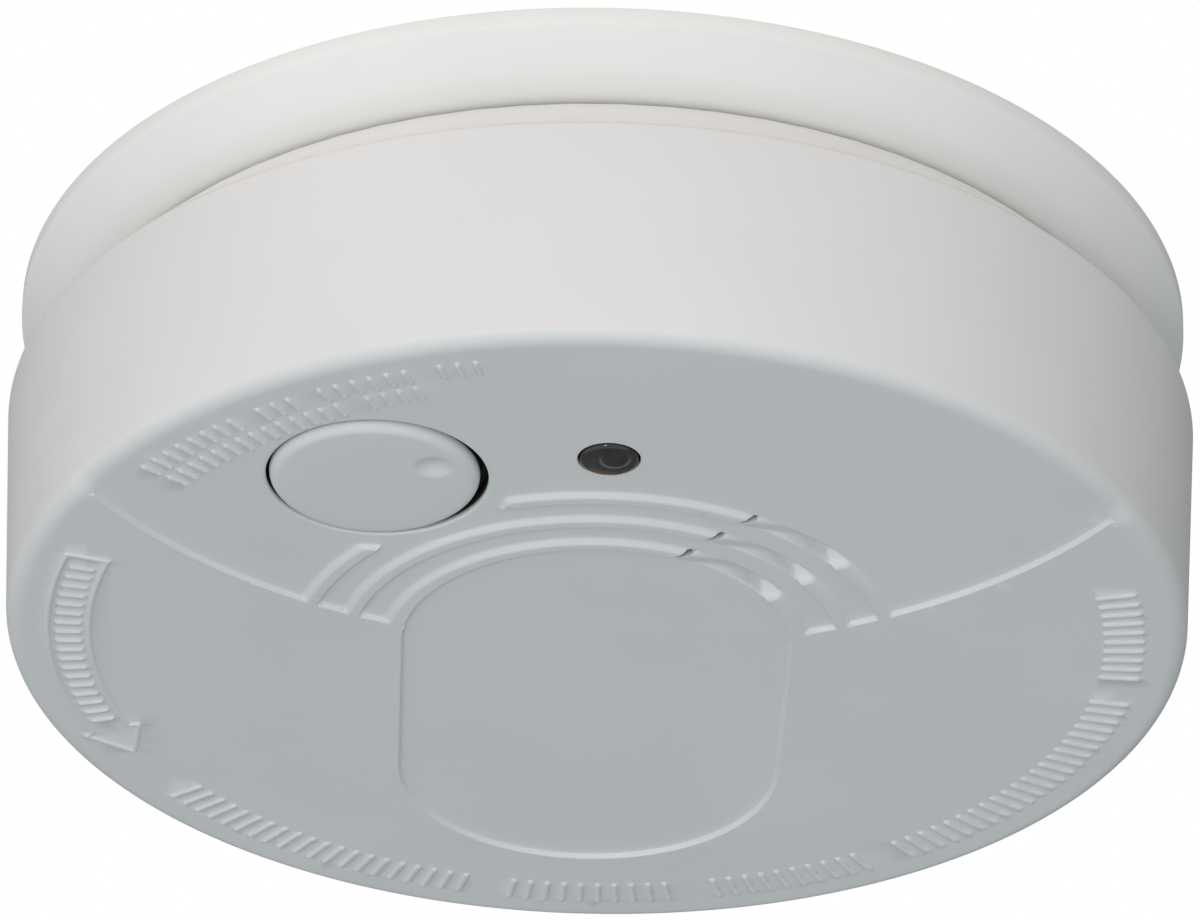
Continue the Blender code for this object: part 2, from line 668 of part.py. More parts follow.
# ---------------------------------------------------------------- sounder
def make_sounder(materials, body):
    place = (HORN_X, HORN_Y, 0.0)
    front_z = FACE_INNER_Z + 0.4 * MM
    ledge_z = -27.0 * MM
    pocket_radius = HORN_RADIUS - 1.3 * MM
    ledge_radius = pocket_radius - 1.4 * MM
    sound_hole = 3.5 * MM
    profile = [
        (sound_hole, front_z),
        (HORN_RADIUS, front_z),
        (HORN_RADIUS, BELOW_BOARD),
        (pocket_radius, BELOW_BOARD),
        (pocket_radius, ledge_z),
        (ledge_radius, ledge_z),
        (ledge_radius, front_z + 1.0 * MM),
        (sound_hole, front_z + 1.0 * MM),
    ]
    add_object("sounder_horn", turned(profile, 40), materials["black_plastic"], body, place)
    plate_z = ledge_z + CLEARANCE
    plate = cylinder((0.0, 0.0), pocket_radius - CLEARANCE, plate_z, plate_z + 0.4 * MM, 40)
    add_object("piezo_plate", plate, materials["brass"], body, place)
    ceramic_z = plate_z + 0.4 * MM + CLEARANCE
    ceramic = cylinder((0.0, 0.0), 9.0 * MM, ceramic_z, ceramic_z + 0.4 * MM, 32)
    add_object("piezo_ceramic", ceramic, materials["ceramic"], body, place)


# ---------------------------------------------------------------- battery and contacts
def make_battery(materials, body):
    length, width, height = BATTERY_SIZE
    x = (BATTERY_END_X - length, BATTERY_END_X)
    z = (BATTERY_TOP_Z - height, BATTERY_TOP_Z)
    block = box(x, around(BATTERY_Y, width / 2), z)
    battery = add_object("battery", block, materials["battery_jacket"], body)
    bevel = battery.modifiers.new("Rounded edges", "BEVEL")
    bevel.width = 1.2 * MM
    bevel.segments = 2

    middle_z = (z[0] + z[1]) / 2
    start_x = BATTERY_END_X + CLEARANCE
    end = TERMINAL_LENGTH - CLEARANCE
    turn = (0.0, math.pi / 2, 0.0)
    stud = turned([(0.0, 0.0), (2.9 * MM, 0.0), (2.9 * MM, end - 0.5 * MM), (2.4 * MM, end), (0.0, end)], 16)
    y = BATTERY_Y - TERMINAL_SPACING / 2
    add_object("battery_terminal_positive", stud, materials["steel"], body, (start_x, y, middle_z), turn)
    crown_profile = [
        (0.0, 0.0),
        (4.1 * MM, 0.0),
        (4.1 * MM, end),
        (3.2 * MM, end),
        (3.2 * MM, 0.6 * MM),
        (0.0, 0.6 * MM),
    ]
    y = BATTERY_Y + TERMINAL_SPACING / 2
    crown = turned(crown_profile, 6)
    add_object("battery_terminal_negative", crown, materials["steel"], body, (start_x, y, middle_z), turn)


def make_contacts(materials, body):
    carrier_x = (26.3 * MM, BAY_X[1] - CLEARANCE)
    carrier = box(carrier_x, (BAY_Y[0] + CLEARANCE, BAY_Y[1] - CLEARANCE), (BAY_FLOOR_Z + CLEARANCE, -14.0 * MM))
    add_object("contact_carrier", carrier, materials["black_plastic"], body)

    front = (24.2 * MM, 24.6 * MM)
    back = (25.6 * MM, 26.0 * MM)
    foot_z = -24.4 * MM
    leaf = [
        (front[0], -11.6 * MM),
        (front[0], foot_z),
        (back[1], foot_z),
        (back[1], -10.6 * MM),
        (back[0], -10.6 * MM),
        (back[0], foot_z + 0.4 * MM),
        (front[1], foot_z + 0.4 * MM),
        (front[1], -11.6 * MM),
    ]
    for name, side in (("contact_positive", -1), ("contact_negative", 1)):
        y = BATTERY_Y + side * TERMINAL_SPACING / 2
        bm = bmesh.new()
        face = bm.faces.new([bm.verts.new((x, y - 3.0 * MM, z)) for x, z in leaf])
        made = bmesh.ops.extrude_face_region(bm, geom=[face])["geom"]
        moved = [v for v in made if isinstance(v, bmesh.types.BMVert)]
        bmesh.ops.translate(bm, verts=moved, vec=(0.0, 6.0 * MM, 0.0))
        add_object(name, bm, materials["steel"], body)


def smooth_route(corners, spacing):
    """Points along a Catmull-Rom curve through the corners, about one spacing apart."""
    ends = [corners[0], *corners, corners[-1]]
    points = []
    for p0, p1, p2, p3 in zip(ends, ends[1:], ends[2:], ends[3:]):
        steps = max(1, round(math.dist(p1, p2) / spacing))
        for i in range(steps):
            t = i / steps
            point = []
            for a, b, c, d in zip(p0, p1, p2, p3):
                value = 2 * b + (c - a) * t + (2 * a - 5 * b + 4 * c - d) * t**2 + (3 * b - a - 3 * c + d) * t**3
                point.append(value / 2)
            points.append(point)
    points.append(list(corners[-1]))
    return points


def make_battery_leads(materials, body):
    """Insulated wires from the contacts' tails, through the notch in the bay's wall, to the board's back."""
    routes = {
        "battery_lead_positive": [
            (26.0, 15.05, -9.6),
            (26.3, 13.0, -9.6),
            (26.7, 11.0, -10.1),
            (26.9, 9.0, -11.2),
            (26.9, 7.0, -11.6),
            (26.7, 4.4, -12.6),
            (26.3, 2.8, -16.0),
            (26.1, 1.9, -19.5),
            (26.0, 1.8, -21.9),
        ],
        "battery_lead_negative": [
            (25.8, 27.75, -9.6),
            (25.2, 24.6, -9.5),
            (24.3, 19.0, -9.5),
            (24.2, 13.0, -9.8),
            (24.5, 9.5, -11.2),
            (24.7, 7.0, -11.6),
            (24.3, 4.2, -12.8),
            (23.4, 2.8, -16.0),
            (22.9, 1.9, -19.5),
            (22.8, 1.8, -21.9),
        ],
    }
    wire_radius = 0.6 * MM
    for name, corners in routes.items():
        curve = bpy.data.curves.new(name, "CURVE")
        curve.dimensions = "3D"
        curve.bevel_depth = wire_radius
        curve.bevel_resolution = 1
        curve.use_fill_caps = True
        spline = curve.splines.new("POLY")
        points = smooth_route([[value * MM for value in corner] for corner in corners], 2.4 * MM)
        spline.points.add(len(points) - 1)
        for point, place in zip(spline.points, points):
            point.co = (*place, 1.0)
        curve.materials.append(materials[name])
        lead = bpy.data.objects.new(name, curve)
        lead.parent = body
        bpy.context.scene.collection.objects.link(lead)


# ---------------------------------------------------------------- assembly
def make_materials():
    return {
        "casing": make_material("casing", (0.80, 0.79, 0.76), 0.45),
        "button": make_material("button", (0.80, 0.79, 0.76), 0.42),
        "lens": make_material("lens", (0.05, 0.035, 0.025), 0.12),
        "board": make_material("board", (0.03, 0.20, 0.08), 0.45),
        "black_plastic": make_material("black_plastic", (0.02, 0.02, 0.022), 0.55),
        "steel": make_material("steel", (0.62, 0.62, 0.63), 0.30, 1.0),
        "brass": make_material("brass", (0.80, 0.60, 0.25), 0.28, 1.0),
        "ceramic": make_material("ceramic", (0.78, 0.76, 0.70), 0.35),
        "ferrite": make_material("ferrite", (0.05, 0.05, 0.05), 0.6),
        "capacitor_sleeve": make_material("capacitor_sleeve", (0.02, 0.03, 0.08), 0.35),
        "resistor": make_material("resistor", (0.55, 0.42, 0.25), 0.45),
        "infrared_emitter": make_material("infrared_emitter", (0.25, 0.32, 0.45), 0.10),
        "photodiode": make_material("photodiode", (0.03, 0.02, 0.03), 0.12),
        "battery_jacket": make_material("battery_jacket", (0.10, 0.11, 0.13), 0.30),
        "battery_lead_positive": make_material("battery_lead_positive", (0.55, 0.02, 0.02), 0.45),
        "battery_lead_negative": make_material("battery_lead_negative", (0.01, 0.01, 0.01), 0.45),
    }


def main():
    clear_scene()
    materials = make_materials()
    body = add_empty("detector_turn", (0.0, 0.0, 0.0))
    button_slide = add_empty("test_button_press", (BUTTON_X, BUTTON_Y, 0.0), body)
    plunger_slide = add_empty("switch_plunger_press", (BUTTON_X, BUTTON_Y, 0.0), body)

    make_mounting_base(materials["casing"])
    make_rear_housing(materials["casing"], body)
    make_front_cover(materials["casing"], body)
    make_test_button(materials["button"], button_slide)
    make_button_spring(materials["steel"], button_slide)
    make_switch(materials["black_plastic"], materials["button"], body, plunger_slide)
    make_lamp(materials["lens"], materials["steel"], body)
    make_circuit_board(materials["board"], body)
    make_board_screws(materials["steel"], body)
    make_board_parts(materials, body)
    make_chamber(materials, body)
    make_sounder(materials, body)
    make_battery(materials, body)
    make_contacts(materials, body)
    make_battery_leads(materials, body)


main()
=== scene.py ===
"""A ceiling smoke alarm, seen from below: fine shells, finishes, lights and a camera around its frame."""

import json
import math

import bmesh
import bpy
import numpy as np
from mathutils import Matrix, Vector
from mathutils.geometry import delaunay_2d_cdt


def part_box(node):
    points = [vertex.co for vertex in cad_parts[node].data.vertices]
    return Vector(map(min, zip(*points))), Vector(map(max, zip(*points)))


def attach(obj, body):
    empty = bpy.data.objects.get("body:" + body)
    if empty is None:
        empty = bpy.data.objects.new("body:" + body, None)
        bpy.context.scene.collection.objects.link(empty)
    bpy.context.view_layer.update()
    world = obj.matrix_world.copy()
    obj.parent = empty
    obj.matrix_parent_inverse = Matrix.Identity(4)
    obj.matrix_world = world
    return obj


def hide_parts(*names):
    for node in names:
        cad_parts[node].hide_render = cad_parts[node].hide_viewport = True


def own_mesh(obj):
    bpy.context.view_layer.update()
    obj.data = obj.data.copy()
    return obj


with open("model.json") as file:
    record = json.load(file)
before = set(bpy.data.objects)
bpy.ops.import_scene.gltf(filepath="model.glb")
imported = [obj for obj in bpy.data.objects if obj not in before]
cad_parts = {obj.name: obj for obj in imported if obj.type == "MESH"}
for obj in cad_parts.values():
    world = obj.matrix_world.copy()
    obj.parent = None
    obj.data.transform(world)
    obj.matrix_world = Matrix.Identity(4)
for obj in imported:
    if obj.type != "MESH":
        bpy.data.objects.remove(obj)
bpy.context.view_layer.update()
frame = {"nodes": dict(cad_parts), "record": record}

MM = 0.001

# ---------------------------------------------------------------- sizes read from the frame, in millimetres
cover_low, cover_high = (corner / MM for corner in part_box("front_cover"))
button_low, button_high = (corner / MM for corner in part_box("test_button"))
lamp_low, lamp_high = (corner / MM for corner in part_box("indicator_led"))
base_low, base_high = (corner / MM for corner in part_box("mounting_base"))
BODY_RADIUS = cover_high.x
LOWEST_Z = cover_low.z
RIM_Z = cover_high.z
BUTTON_CENTRE = ((button_low.x + button_high.x) / 2, (button_low.y + button_high.y) / 2)
LAMP_CENTRE = ((lamp_low.x + lamp_high.x) / 2, (lamp_low.y + lamp_high.y) / 2)
BASE_RADIUS = base_high.x
BASE_END_Z = base_low.z

# ---------------------------------------------------------------- sizes of the moulded face, in millimetres
ROUND_STEPS = 288
MARK_HEIGHT = 0.21
FACE_Z = LOWEST_Z + MARK_HEIGHT
FACE_INNER_Z = -31.1
WALL_FOOT_RADIUS = 51.6
WALL_THICKNESS = 2.0
EDGE_FILLET = 1.65
FACE_RADIUS = WALL_FOOT_RADIUS - EDGE_FILLET
# The rim laps this far over the frame's own, closes against the shoulder and has a ledge just inside.
RIM_LAP = 0.4
RIM_FILLET = 0.65
RIM_LEDGE = 0.35

# The width of the S-shaped wall at a step, and where the rows of points on it lie, as shares of that width.
WALL_WIDTH = 0.3
WALL_SHARES = np.array((-0.62, -0.5, -0.37, -0.25, -0.12, 0.0, 0.12, 0.25, 0.37, 0.5, 0.62))
STEP_DEPTH = 0.42
STEP_RADIUS = 50.5
STEP_CENTRE = (-0.55, -51.0)
# The panel: its radius and where its two half circles have their centres.
PANEL_RADIUS = 16.95
PANEL_NEAR_Y = -0.45
PANEL_FAR_Y = 22.25

# Each rib: inner radius, outer radius, the angle where it breaks off and the angle where it rises again.
RIBS = (
    (25.1, 26.42, -63.5, -37.4),
    (21.2, 22.48, -66.2, -35.8),
    (16.4, 18.65, -70.6, -33.4),
)
# Behind this line across the face there are no ribs, and they fade in over this distance.
RIBS_LIMIT_Y = -2.5
RIBS_FADE = 1.0
RIB_CROWN = 0.8
RIB_SLANT = 0.8
# The opening where a rib breaks off, and the scoop that deepens behind it over a share of its length.
SLIT_WIDTH = 0.85
SLIT_DEPTH = 1.0
SLIT_EDGE = 0.12
SCOOP_SHALLOW = 0.1
SCOOP_DEEP = 1.5
SCOOP_RISE = 1.35
SCOOP_SHARE = 0.75
SCOOP_CURVE = 1.3

# Each hole: centre, radius, edge fillet and number of sides.
BUTTON_HOLE = (BUTTON_CENTRE, 9.4, 0.22, 144)
LAMP_HOLE = (LAMP_CENTRE, 2.66, 0.09, 64)
HOLES = (BUTTON_HOLE, LAMP_HOLE)
BUTTON_PAD_RADIUS = 11.3
# Painted shade begins this deep in a hole, between two rings of points on its wall.
HOLE_DARK = 0.9
HOLE_RINGS = (0.75, 1.0)

# Raised marks, all of them plain ticks but for the arrow. The row along the rim: ticks in each group, first
# angle, steps between ticks and between groups in degrees, and the ticks' ends and stroke width.
RIM_GROUPS = (10, 22, 10, 10, 20)
RIM_START = -15.5
RIM_STEP = 2.0
RIM_GAP = 3.8
RIM_ENDS = (44.5, 47.6)
RIM_STROKE = 0.5
# The rows near the button: middle radius, first angle and ticks in each group, with one step between groups.
NEAR_ROWS = ((47.4, -144.0, (8, 3, 6, 3)), (44.7, -144.0, (14, 4)))
NEAR_STEP = 1.83
NEAR_HALF_LENGTH = 0.85
# The row inside the arrow: number of ticks, first angle, step and ends.
ARROW_TICKS = (18, 194.5, 2.0, 45.2, 47.0)
ARROW_OUTER = 47.9
ARROW_INNER = 44.3
STROKE = 0.42
STROKE_EDGE = 0.26

# ---------------------------------------------------------------- sizes of the base, in millimetres
# A plate with a lip and a sloping skirt, keyholes for its screws and hooks for the alarm's bayonet.
BASE_LIP = 1.7
BASE_LIP_FILLET = 0.5
BASE_SKIRT_RADIUS = 47.4
BASE_FOOT_FILLET = 1.9
BASE_WALL = 2.25
BASE_RIM = 3.6
BASE_PLATE = 2.2
# How dark the shade painted at the skirt's foot is, and how far up the skirt it reaches, as a share of it.
BASE_SHADE = 0.16
BASE_SHADE_REACH = 0.6
KEYHOLE_X = 30.0
KEYHOLE_HEAD_RADIUS = 4.2
KEYHOLE_SHANK_RADIUS = 2.2
KEYHOLE_LENGTH = 8.0
BAYONET_ANGLES = (40.0, 160.0, 280.0)
BAYONET_HALF_SPAN = 9.0
# A hook: its leg's inner radius, its foot's inner radius and its foot's top and bottom.
HOOK_LEG_RADIUS = 44.4
HOOK_FOOT_RADIUS = 42.3
HOOK_FOOT_TOP = -4.8
HOOK_FOOT_BOTTOM = -6.0

SHARP_ANGLE = math.radians(35.0)
# The attribute that holds painted shade, and the near-black colour of the shade painted into slits, holes and
# the base's foot.
PAINTED_SHADE = "painted_shade"
PAINTED_SHADE_COLOUR = (0.03, 0.028, 0.026)
BLACK = (0.0, 0.0, 0.0)
WHITE = (1.0, 1.0, 1.0)
# A colour Mix node's own sockets, which share their names with its sockets for numbers.
MIX_COLOURS = (6, 7)
MIX_RESULT = 2
# A ring this small closes a turned profile on its axis.
AXIS_RADIUS = 0.001


# ---------------------------------------------------------------- shape helpers
def polar(radius, degrees, centre=(0.0, 0.0)):
    angle = math.radians(degrees)
    return (centre[0] + radius * math.cos(angle), centre[1] + radius * math.sin(angle))


def arc(centre, radius, start, end, step=1.0):
    """Points along an arc, both ends included, about one step of degrees apart."""
    count = max(2, math.ceil(abs(end - start) / step))
    return [polar(radius, start + (end - start) * i / count, centre) for i in range(count + 1)]


def ring(radius, count, centre=(0.0, 0.0)):
    return [polar(radius, 360.0 * i / count, centre) for i in range(count)]


def polar_grid(r, degrees):
    angle = np.radians(degrees)
    return r * np.cos(angle), r * np.sin(angle)


def soft(distance, width=WALL_WIDTH):
    """0 outside an edge and 1 inside it, with an S-shaped wall of that width between."""
    t = np.clip(distance / width + 0.5, 0.0, 1.0)
    return t * t * (3.0 - 2.0 * t)


def rows(path, offsets, spacing=0.4):
    """Rows of points beside a path, one for each offset."""
    path = np.asarray(path, float)
    legs = np.hypot(*np.diff(path, axis=0).T)
    at = np.concatenate([[0.0], np.cumsum(legs)])
    count = max(3, round(at[-1] / spacing) + 1)
    here = np.linspace(0.0, at[-1], count)
    points = np.column_stack([np.interp(here, at, path[:, i]) for i in (0, 1)])
    along = np.gradient(points, axis=0)
    along /= np.hypot(*along.T)[:, None]
    normals = np.column_stack([-along[:, 1], along[:, 0]])
    return np.concatenate([points + offset * normals for offset in offsets])


def wall_rows(path, width=WALL_WIDTH, spacing=0.4):
    """The rows that carry a soft wall of that width along a path."""
    return rows(path, WALL_SHARES * width, spacing)


def thinned(points, cell=0.03):
    """One point for each square cell."""
    keys = np.floor(points / cell).astype(int)
    _, first = np.unique(keys, axis=0, return_index=True)
    return points[np.sort(first)]


def inside_loop(points, loop):
    """Which points lie inside a closed outline, by the even-odd rule."""
    inside = np.zeros(len(points), bool)
    for (x0, y0), (x1, y1) in zip(loop, np.roll(loop, -1, axis=0)):
        spans = (y0 > points[:, 1]) != (y1 > points[:, 1])
        if spans.any():
            crossing = x0 + (points[spans, 1] - y0) * (x1 - x0) / (y1 - y0)
            inside[spans] ^= points[spans, 0] < crossing
    return inside


def triangulate(boundary, loops, points=()):
    """Points and triangles that fill a boundary ring round the holes that the loops leave."""
    rings = [boundary, *loops]
    flat = [point for loop in rings for point in loop]
    edges = []
    start = 0
    for loop in rings:
        edges += [(start + i, start + (i + 1) % len(loop)) for i in range(len(loop))]
        start += len(loop)
    flat += [tuple(point) for point in points]
    made = delaunay_2d_cdt([Vector(point) for point in flat], edges, [], 0, 1e-7)
    corners = np.array([tuple(v) for v in made[0]])
    triangles = np.array(made[2])
    middle = corners[triangles].mean(axis=1)
    keep = np.ones(len(triangles), bool)
    for loop in loops:
        keep &= ~inside_loop(middle, np.array(loop))
    return corners, triangles[keep]


def add_faces(bm, points, faces):
    verts = [bm.verts.new(point) for point in points]
    for face in faces:
        bm.faces.new([verts[i] for i in face])


def add_rings(bm, profile, count, centre=(0.0, 0.0), lift=None):
    """Bands between rings of (radius, z), or of (radius, z, share), where a share of the lift is added."""
    levels = []
    for radius, z, *share in profile:
        level = []
        for i in range(count):
            x, y = polar(radius, 360.0 * i / count, centre)
            rise = share[0] * lift[i] if share else 0.0
            level.append(bm.verts.new((x, y, z + rise)))
        levels.append(level)
    for low, high in zip(levels, levels[1:]):
        for i in range(count):
            j = (i + 1) % count
            bm.faces.new((low[i], low[j], high[j], high[i]))


def finish_piece(name, bm, material):
    """A smooth object, in metres, from a bmesh in millimetres."""
    bmesh.ops.remove_doubles(bm, verts=bm.verts, dist=1e-4)
    bmesh.ops.recalc_face_normals(bm, faces=bm.faces)
    bmesh.ops.scale(bm, vec=(MM, MM, MM), verts=bm.verts)
    mesh = bpy.data.meshes.new(name)
    bm.to_mesh(mesh)
    bm.free()
    mesh.shade_smooth()
    mesh.set_sharp_from_angle(angle=SHARP_ANGLE)
    mesh.materials.append(material)
    piece = bpy.data.objects.new(name, mesh)
    bpy.context.scene.collection.objects.link(piece)
    return piece


# ---------------------------------------------------------------- materials
def new_material(name):
    material = bpy.data.materials.new(name)
    material.use_nodes = True
    nodes = material.node_tree.nodes
    return material, nodes, material.node_tree.links, nodes["Principled BSDF"]


def noise(nodes, links, scale, detail=4.0, roughness=0.55):
    """A noise texture in object space, whose scale counts features in each metre."""
    place = nodes.new("ShaderNodeTexCoord")
    texture = nodes.new("ShaderNodeTexNoise")
    texture.inputs["Scale"].default_value = scale
    texture.inputs["Detail"].default_value = detail
    texture.inputs["Roughness"].default_value = roughness
    links.new(place.outputs["Object"], texture.inputs["Vector"])
    return texture.outputs["Fac"]


def ramp(nodes, links, factor, colours, low=0.3, high=0.7):
    """Goes from the first colour to the second as the factor goes from low to high."""
    node = nodes.new("ShaderNodeValToRGB")
    node.color_ramp.elements[0].position = low
    node.color_ramp.elements[1].position = high
    for element, colour in zip(node.color_ramp.elements, colours):
        element.color = (*colour, 1.0)
    links.new(factor, node.inputs["Fac"])
    return node.outputs["Color"]


def bump(nodes, links, heights):
    """Stacks bumps of (height output, distance in metres) into one normal."""
    normal = None
    for height, distance in heights:
        node = nodes.new("ShaderNodeBump")
        node.inputs["Distance"].default_value = distance
        links.new(height, node.inputs["Height"])
        if normal:
            links.new(normal, node.inputs["Normal"])
        normal = node.outputs["Normal"]
    return normal


def smooth_range(nodes, links, value, low, high):
    node = nodes.new("ShaderNodeMapRange")
    node.interpolation_type = "SMOOTHSTEP"
    node.inputs["From Min"].default_value = low
    node.inputs["From Max"].default_value = high
    links.new(value, node.inputs["Value"])
    return node.outputs["Result"]


def mixed(nodes, links, factor, first, second):
    """Two colours, each a tuple or an output, mixed by a factor."""
    node = nodes.new("ShaderNodeMix")
    node.data_type = "RGBA"
    links.new(factor, node.inputs["Factor"])
    for socket, colour in zip(MIX_COLOURS, (first, second)):
        if isinstance(colour, tuple):
            node.inputs[socket].default_value = (*colour, 1.0)
        else:
            links.new(colour, node.inputs[socket])
    return node.outputs[MIX_RESULT]


def coordinates(nodes, links, space):
    """A point's X, Y and Z outputs in object or generated space."""
    place = nodes.new("ShaderNodeTexCoord")
    split = nodes.new("ShaderNodeSeparateXYZ")
    links.new(place.outputs[space], split.inputs["Vector"])
    return split.outputs


def add_gloss(nodes, links, shader, factor, first, second, low=0.3, high=0.7):
    """Roughness that goes from first to second with a factor."""
    tone = ramp(nodes, links, factor, ((first,) * 3, (second,) * 3), low, high)
    links.new(tone, shader.inputs["Roughness"])


def plastic(name, colour, roughness, grain=3500.0, relief=0.00001, mottle=0.03, with_painted_shade=False):
    """Moulded plastic: a fine eroded texture, a broad waviness, slightly uneven colour and gloss, and, where
    asked, painted shade in gaps and hollows.
    """
    material, nodes, links, shader = new_material(name)
    broad = noise(nodes, links, 45.0, 5.0)
    fine = noise(nodes, links, grain, 2.0)
    patch = noise(nodes, links, 260.0, 6.0)
    darker = tuple(c * (1.0 - mottle) for c in colour)
    tone = ramp(nodes, links, broad, (darker, colour), 0.35, 0.65)
    # Painted shade: where a piece stores it, the colour goes towards near black.
    if with_painted_shade:
        painted_shade_mask = nodes.new("ShaderNodeAttribute")
        painted_shade_mask.attribute_name = PAINTED_SHADE
        tone = mixed(nodes, links, painted_shade_mask.outputs["Fac"], tone, PAINTED_SHADE_COLOUR)
    links.new(tone, shader.inputs["Base Color"])
    add_gloss(nodes, links, shader, patch, roughness - 0.04, roughness + 0.05)
    links.new(bump(nodes, links, ((fine, relief), (broad, 0.00006))), shader.inputs["Normal"])
    shader.inputs["IOR"].default_value = 1.49
    return material


def metal(name, colour, roughness):
    """Plated or rolled metal with a faint grain and dull patches."""
    material, nodes, links, shader = new_material(name)
    patch = noise(nodes, links, 400.0, 6.0)
    dull = tuple(c * 0.8 for c in colour)
    links.new(ramp(nodes, links, patch, (dull, colour)), shader.inputs["Base Color"])
    add_gloss(nodes, links, shader, patch, roughness + 0.1, roughness, 0.35, 0.65)
    links.new(bump(nodes, links, ((noise(nodes, links, 5000.0), 0.000004),)), shader.inputs["Normal"])
    shader.inputs["Metallic"].default_value = 1.0
    return material


# The white plastics darken with painted shade where a piece stores it.
casing = plastic("white_casing", (0.765, 0.757, 0.742), 0.46, with_painted_shade=True)
rear_casing = plastic("white_rear_casing", (0.87, 0.862, 0.835), 0.46, with_painted_shade=True)
button_plastic = plastic("white_button", (0.77, 0.762, 0.75), 0.42, with_painted_shade=True)


# ---------------------------------------------------------------- front cover
def past_break(r, angle, rib):
    """How far a point lies along the rib past the slanted line where the rib breaks off."""
    return np.radians(angle - rib[2]) * r - RIB_SLANT * (r - (rib[0] + rib[1]) / 2)


def slit(past):
    """1 inside the opening that follows the break."""
    return soft(past - SLIT_EDGE / 2, SLIT_EDGE) * soft(SLIT_WIDTH - past, SLIT_EDGE)


def lane_depth(r, angle, rib):
    """How deep the face lies along one rib: its top, then the opening and scoop past the break."""
    inner, outer, break_angle, end_angle = rib
    past = past_break(r, angle, rib)
    length = math.radians(end_angle - break_angle) * (inner + outer) / 2
    deepening = np.clip(past / (SCOOP_SHARE * length), 0.0, 1.0) ** SCOOP_CURVE
    scoop = SCOOP_SHALLOW + (SCOOP_DEEP - SCOOP_SHALLOW) * deepening
    started = soft(past - SLIT_EDGE / 2, SLIT_EDGE)
    ended = soft(length - SCOOP_RISE / 2 - past, SCOOP_RISE)
    return (scoop * started + SLIT_DEPTH * slit(past)) * ended


def face_depth(x, y):
    """How far the moulded face, without its marks, lies inside its outermost plane."""
    r = np.hypot(x, y)
    angle = np.degrees(np.arctan2(y, x))
    crescent = soft(STEP_RADIUS - np.hypot(x - STEP_CENTRE[0], y - STEP_CENTRE[1]))
    panel = soft(PANEL_RADIUS - np.hypot(x, y - np.clip(y, PANEL_NEAR_Y, PANEL_FAR_Y)))
    depth = STEP_DEPTH * np.maximum(crescent, panel)
    to_button = np.hypot(x - BUTTON_CENTRE[0], y - BUTTON_CENTRE[1])
    ribbed = soft(to_button - BUTTON_PAD_RADIUS) * soft(RIBS_LIMIT_Y - y, RIBS_FADE)
    for rib in RIBS:
        lane = soft(r - rib[0]) * soft(rib[1] - r, RIB_CROWN) * (1.0 - panel) * ribbed
        depth = depth + lane * (lane_depth(r, angle, rib) - depth)
    for centre, radius, fillet, _ in HOLES:
        distance = np.hypot(x - centre[0], y - centre[1])
        over_edge = np.clip(1.0 - (distance - radius) / fillet, 0.0, 1.0)
        depth = depth + fillet * (1.0 - np.sqrt(1.0 - over_edge**2))
    return depth


def ticks():
    """(start, end, stroke width) of every raised tick, all of them radial."""
    made = []
    angle = RIM_START
    for count in RIM_GROUPS:
        for _ in range(count):
            made.append((polar(RIM_ENDS[0], angle), polar(RIM_ENDS[1], angle), RIM_STROKE))
            angle += RIM_STEP
        angle += RIM_GAP
    for radius, angle, groups in NEAR_ROWS:
        near, far = radius - NEAR_HALF_LENGTH, radius + NEAR_HALF_LENGTH
        for count in groups:
            for _ in range(count):
                made.append((polar(near, angle), polar(far, angle), STROKE))
                angle += NEAR_STEP
            angle += NEAR_STEP
    count, first, step, near, far = ARROW_TICKS
    for i in range(count):
        angle = first - step * i
        made.append((polar(near, angle), polar(far, angle), STROKE))
    return made


def arrow_path():
    """The outline of the turning arrow, closed."""
    outer = arc((0.0, 0.0), ARROW_OUTER, 197.0, 158.0)
    inner = arc((0.0, 0.0), ARROW_INNER, 158.5, 197.0)
    head = [polar(48.6, 157.6), polar(45.9, 152.6), polar(43.3, 158.3)]
    return [*outer, *head, *inner, outer[0]]


def distance_to(points, start, end):
    """How far each point lies from a straight stroke."""
    start, end = np.array(start), np.array(end)
    along = end - start
    t = np.clip(((points - start) @ along) / (along @ along), 0.0, 1.0)
    return np.hypot(*(points - start - t[:, None] * along).T)


def mark_heights(points):
    """How far the raised marks stand above the face at each point."""
    height = np.zeros(len(points))
    strokes = ticks()
    outline = arrow_path()
    strokes += [(a, b, STROKE) for a, b in zip(outline, outline[1:])]
    for start, end, width in strokes:
        middle = (np.array(start) + np.array(end)) / 2
        near = np.hypot(*(points - middle).T) < math.dist(start, end) / 2 + 1.0
        if near.any():
            raised = soft(width / 2 - distance_to(points[near], start, end), STROKE_EDGE)
            height[near] = np.maximum(height[near], raised)
    return MARK_HEIGHT * height


def capsule(start, end, radius):
    """The outline of a stroke with round ends, closed."""
    heading = math.degrees(math.atan2(end[1] - start[1], end[0] - start[0]))
    first = arc(end, radius, heading - 90, heading + 90, 30)
    second = arc(start, radius, heading + 90, heading + 270, 30)
    return [*first, *second, first[0]]


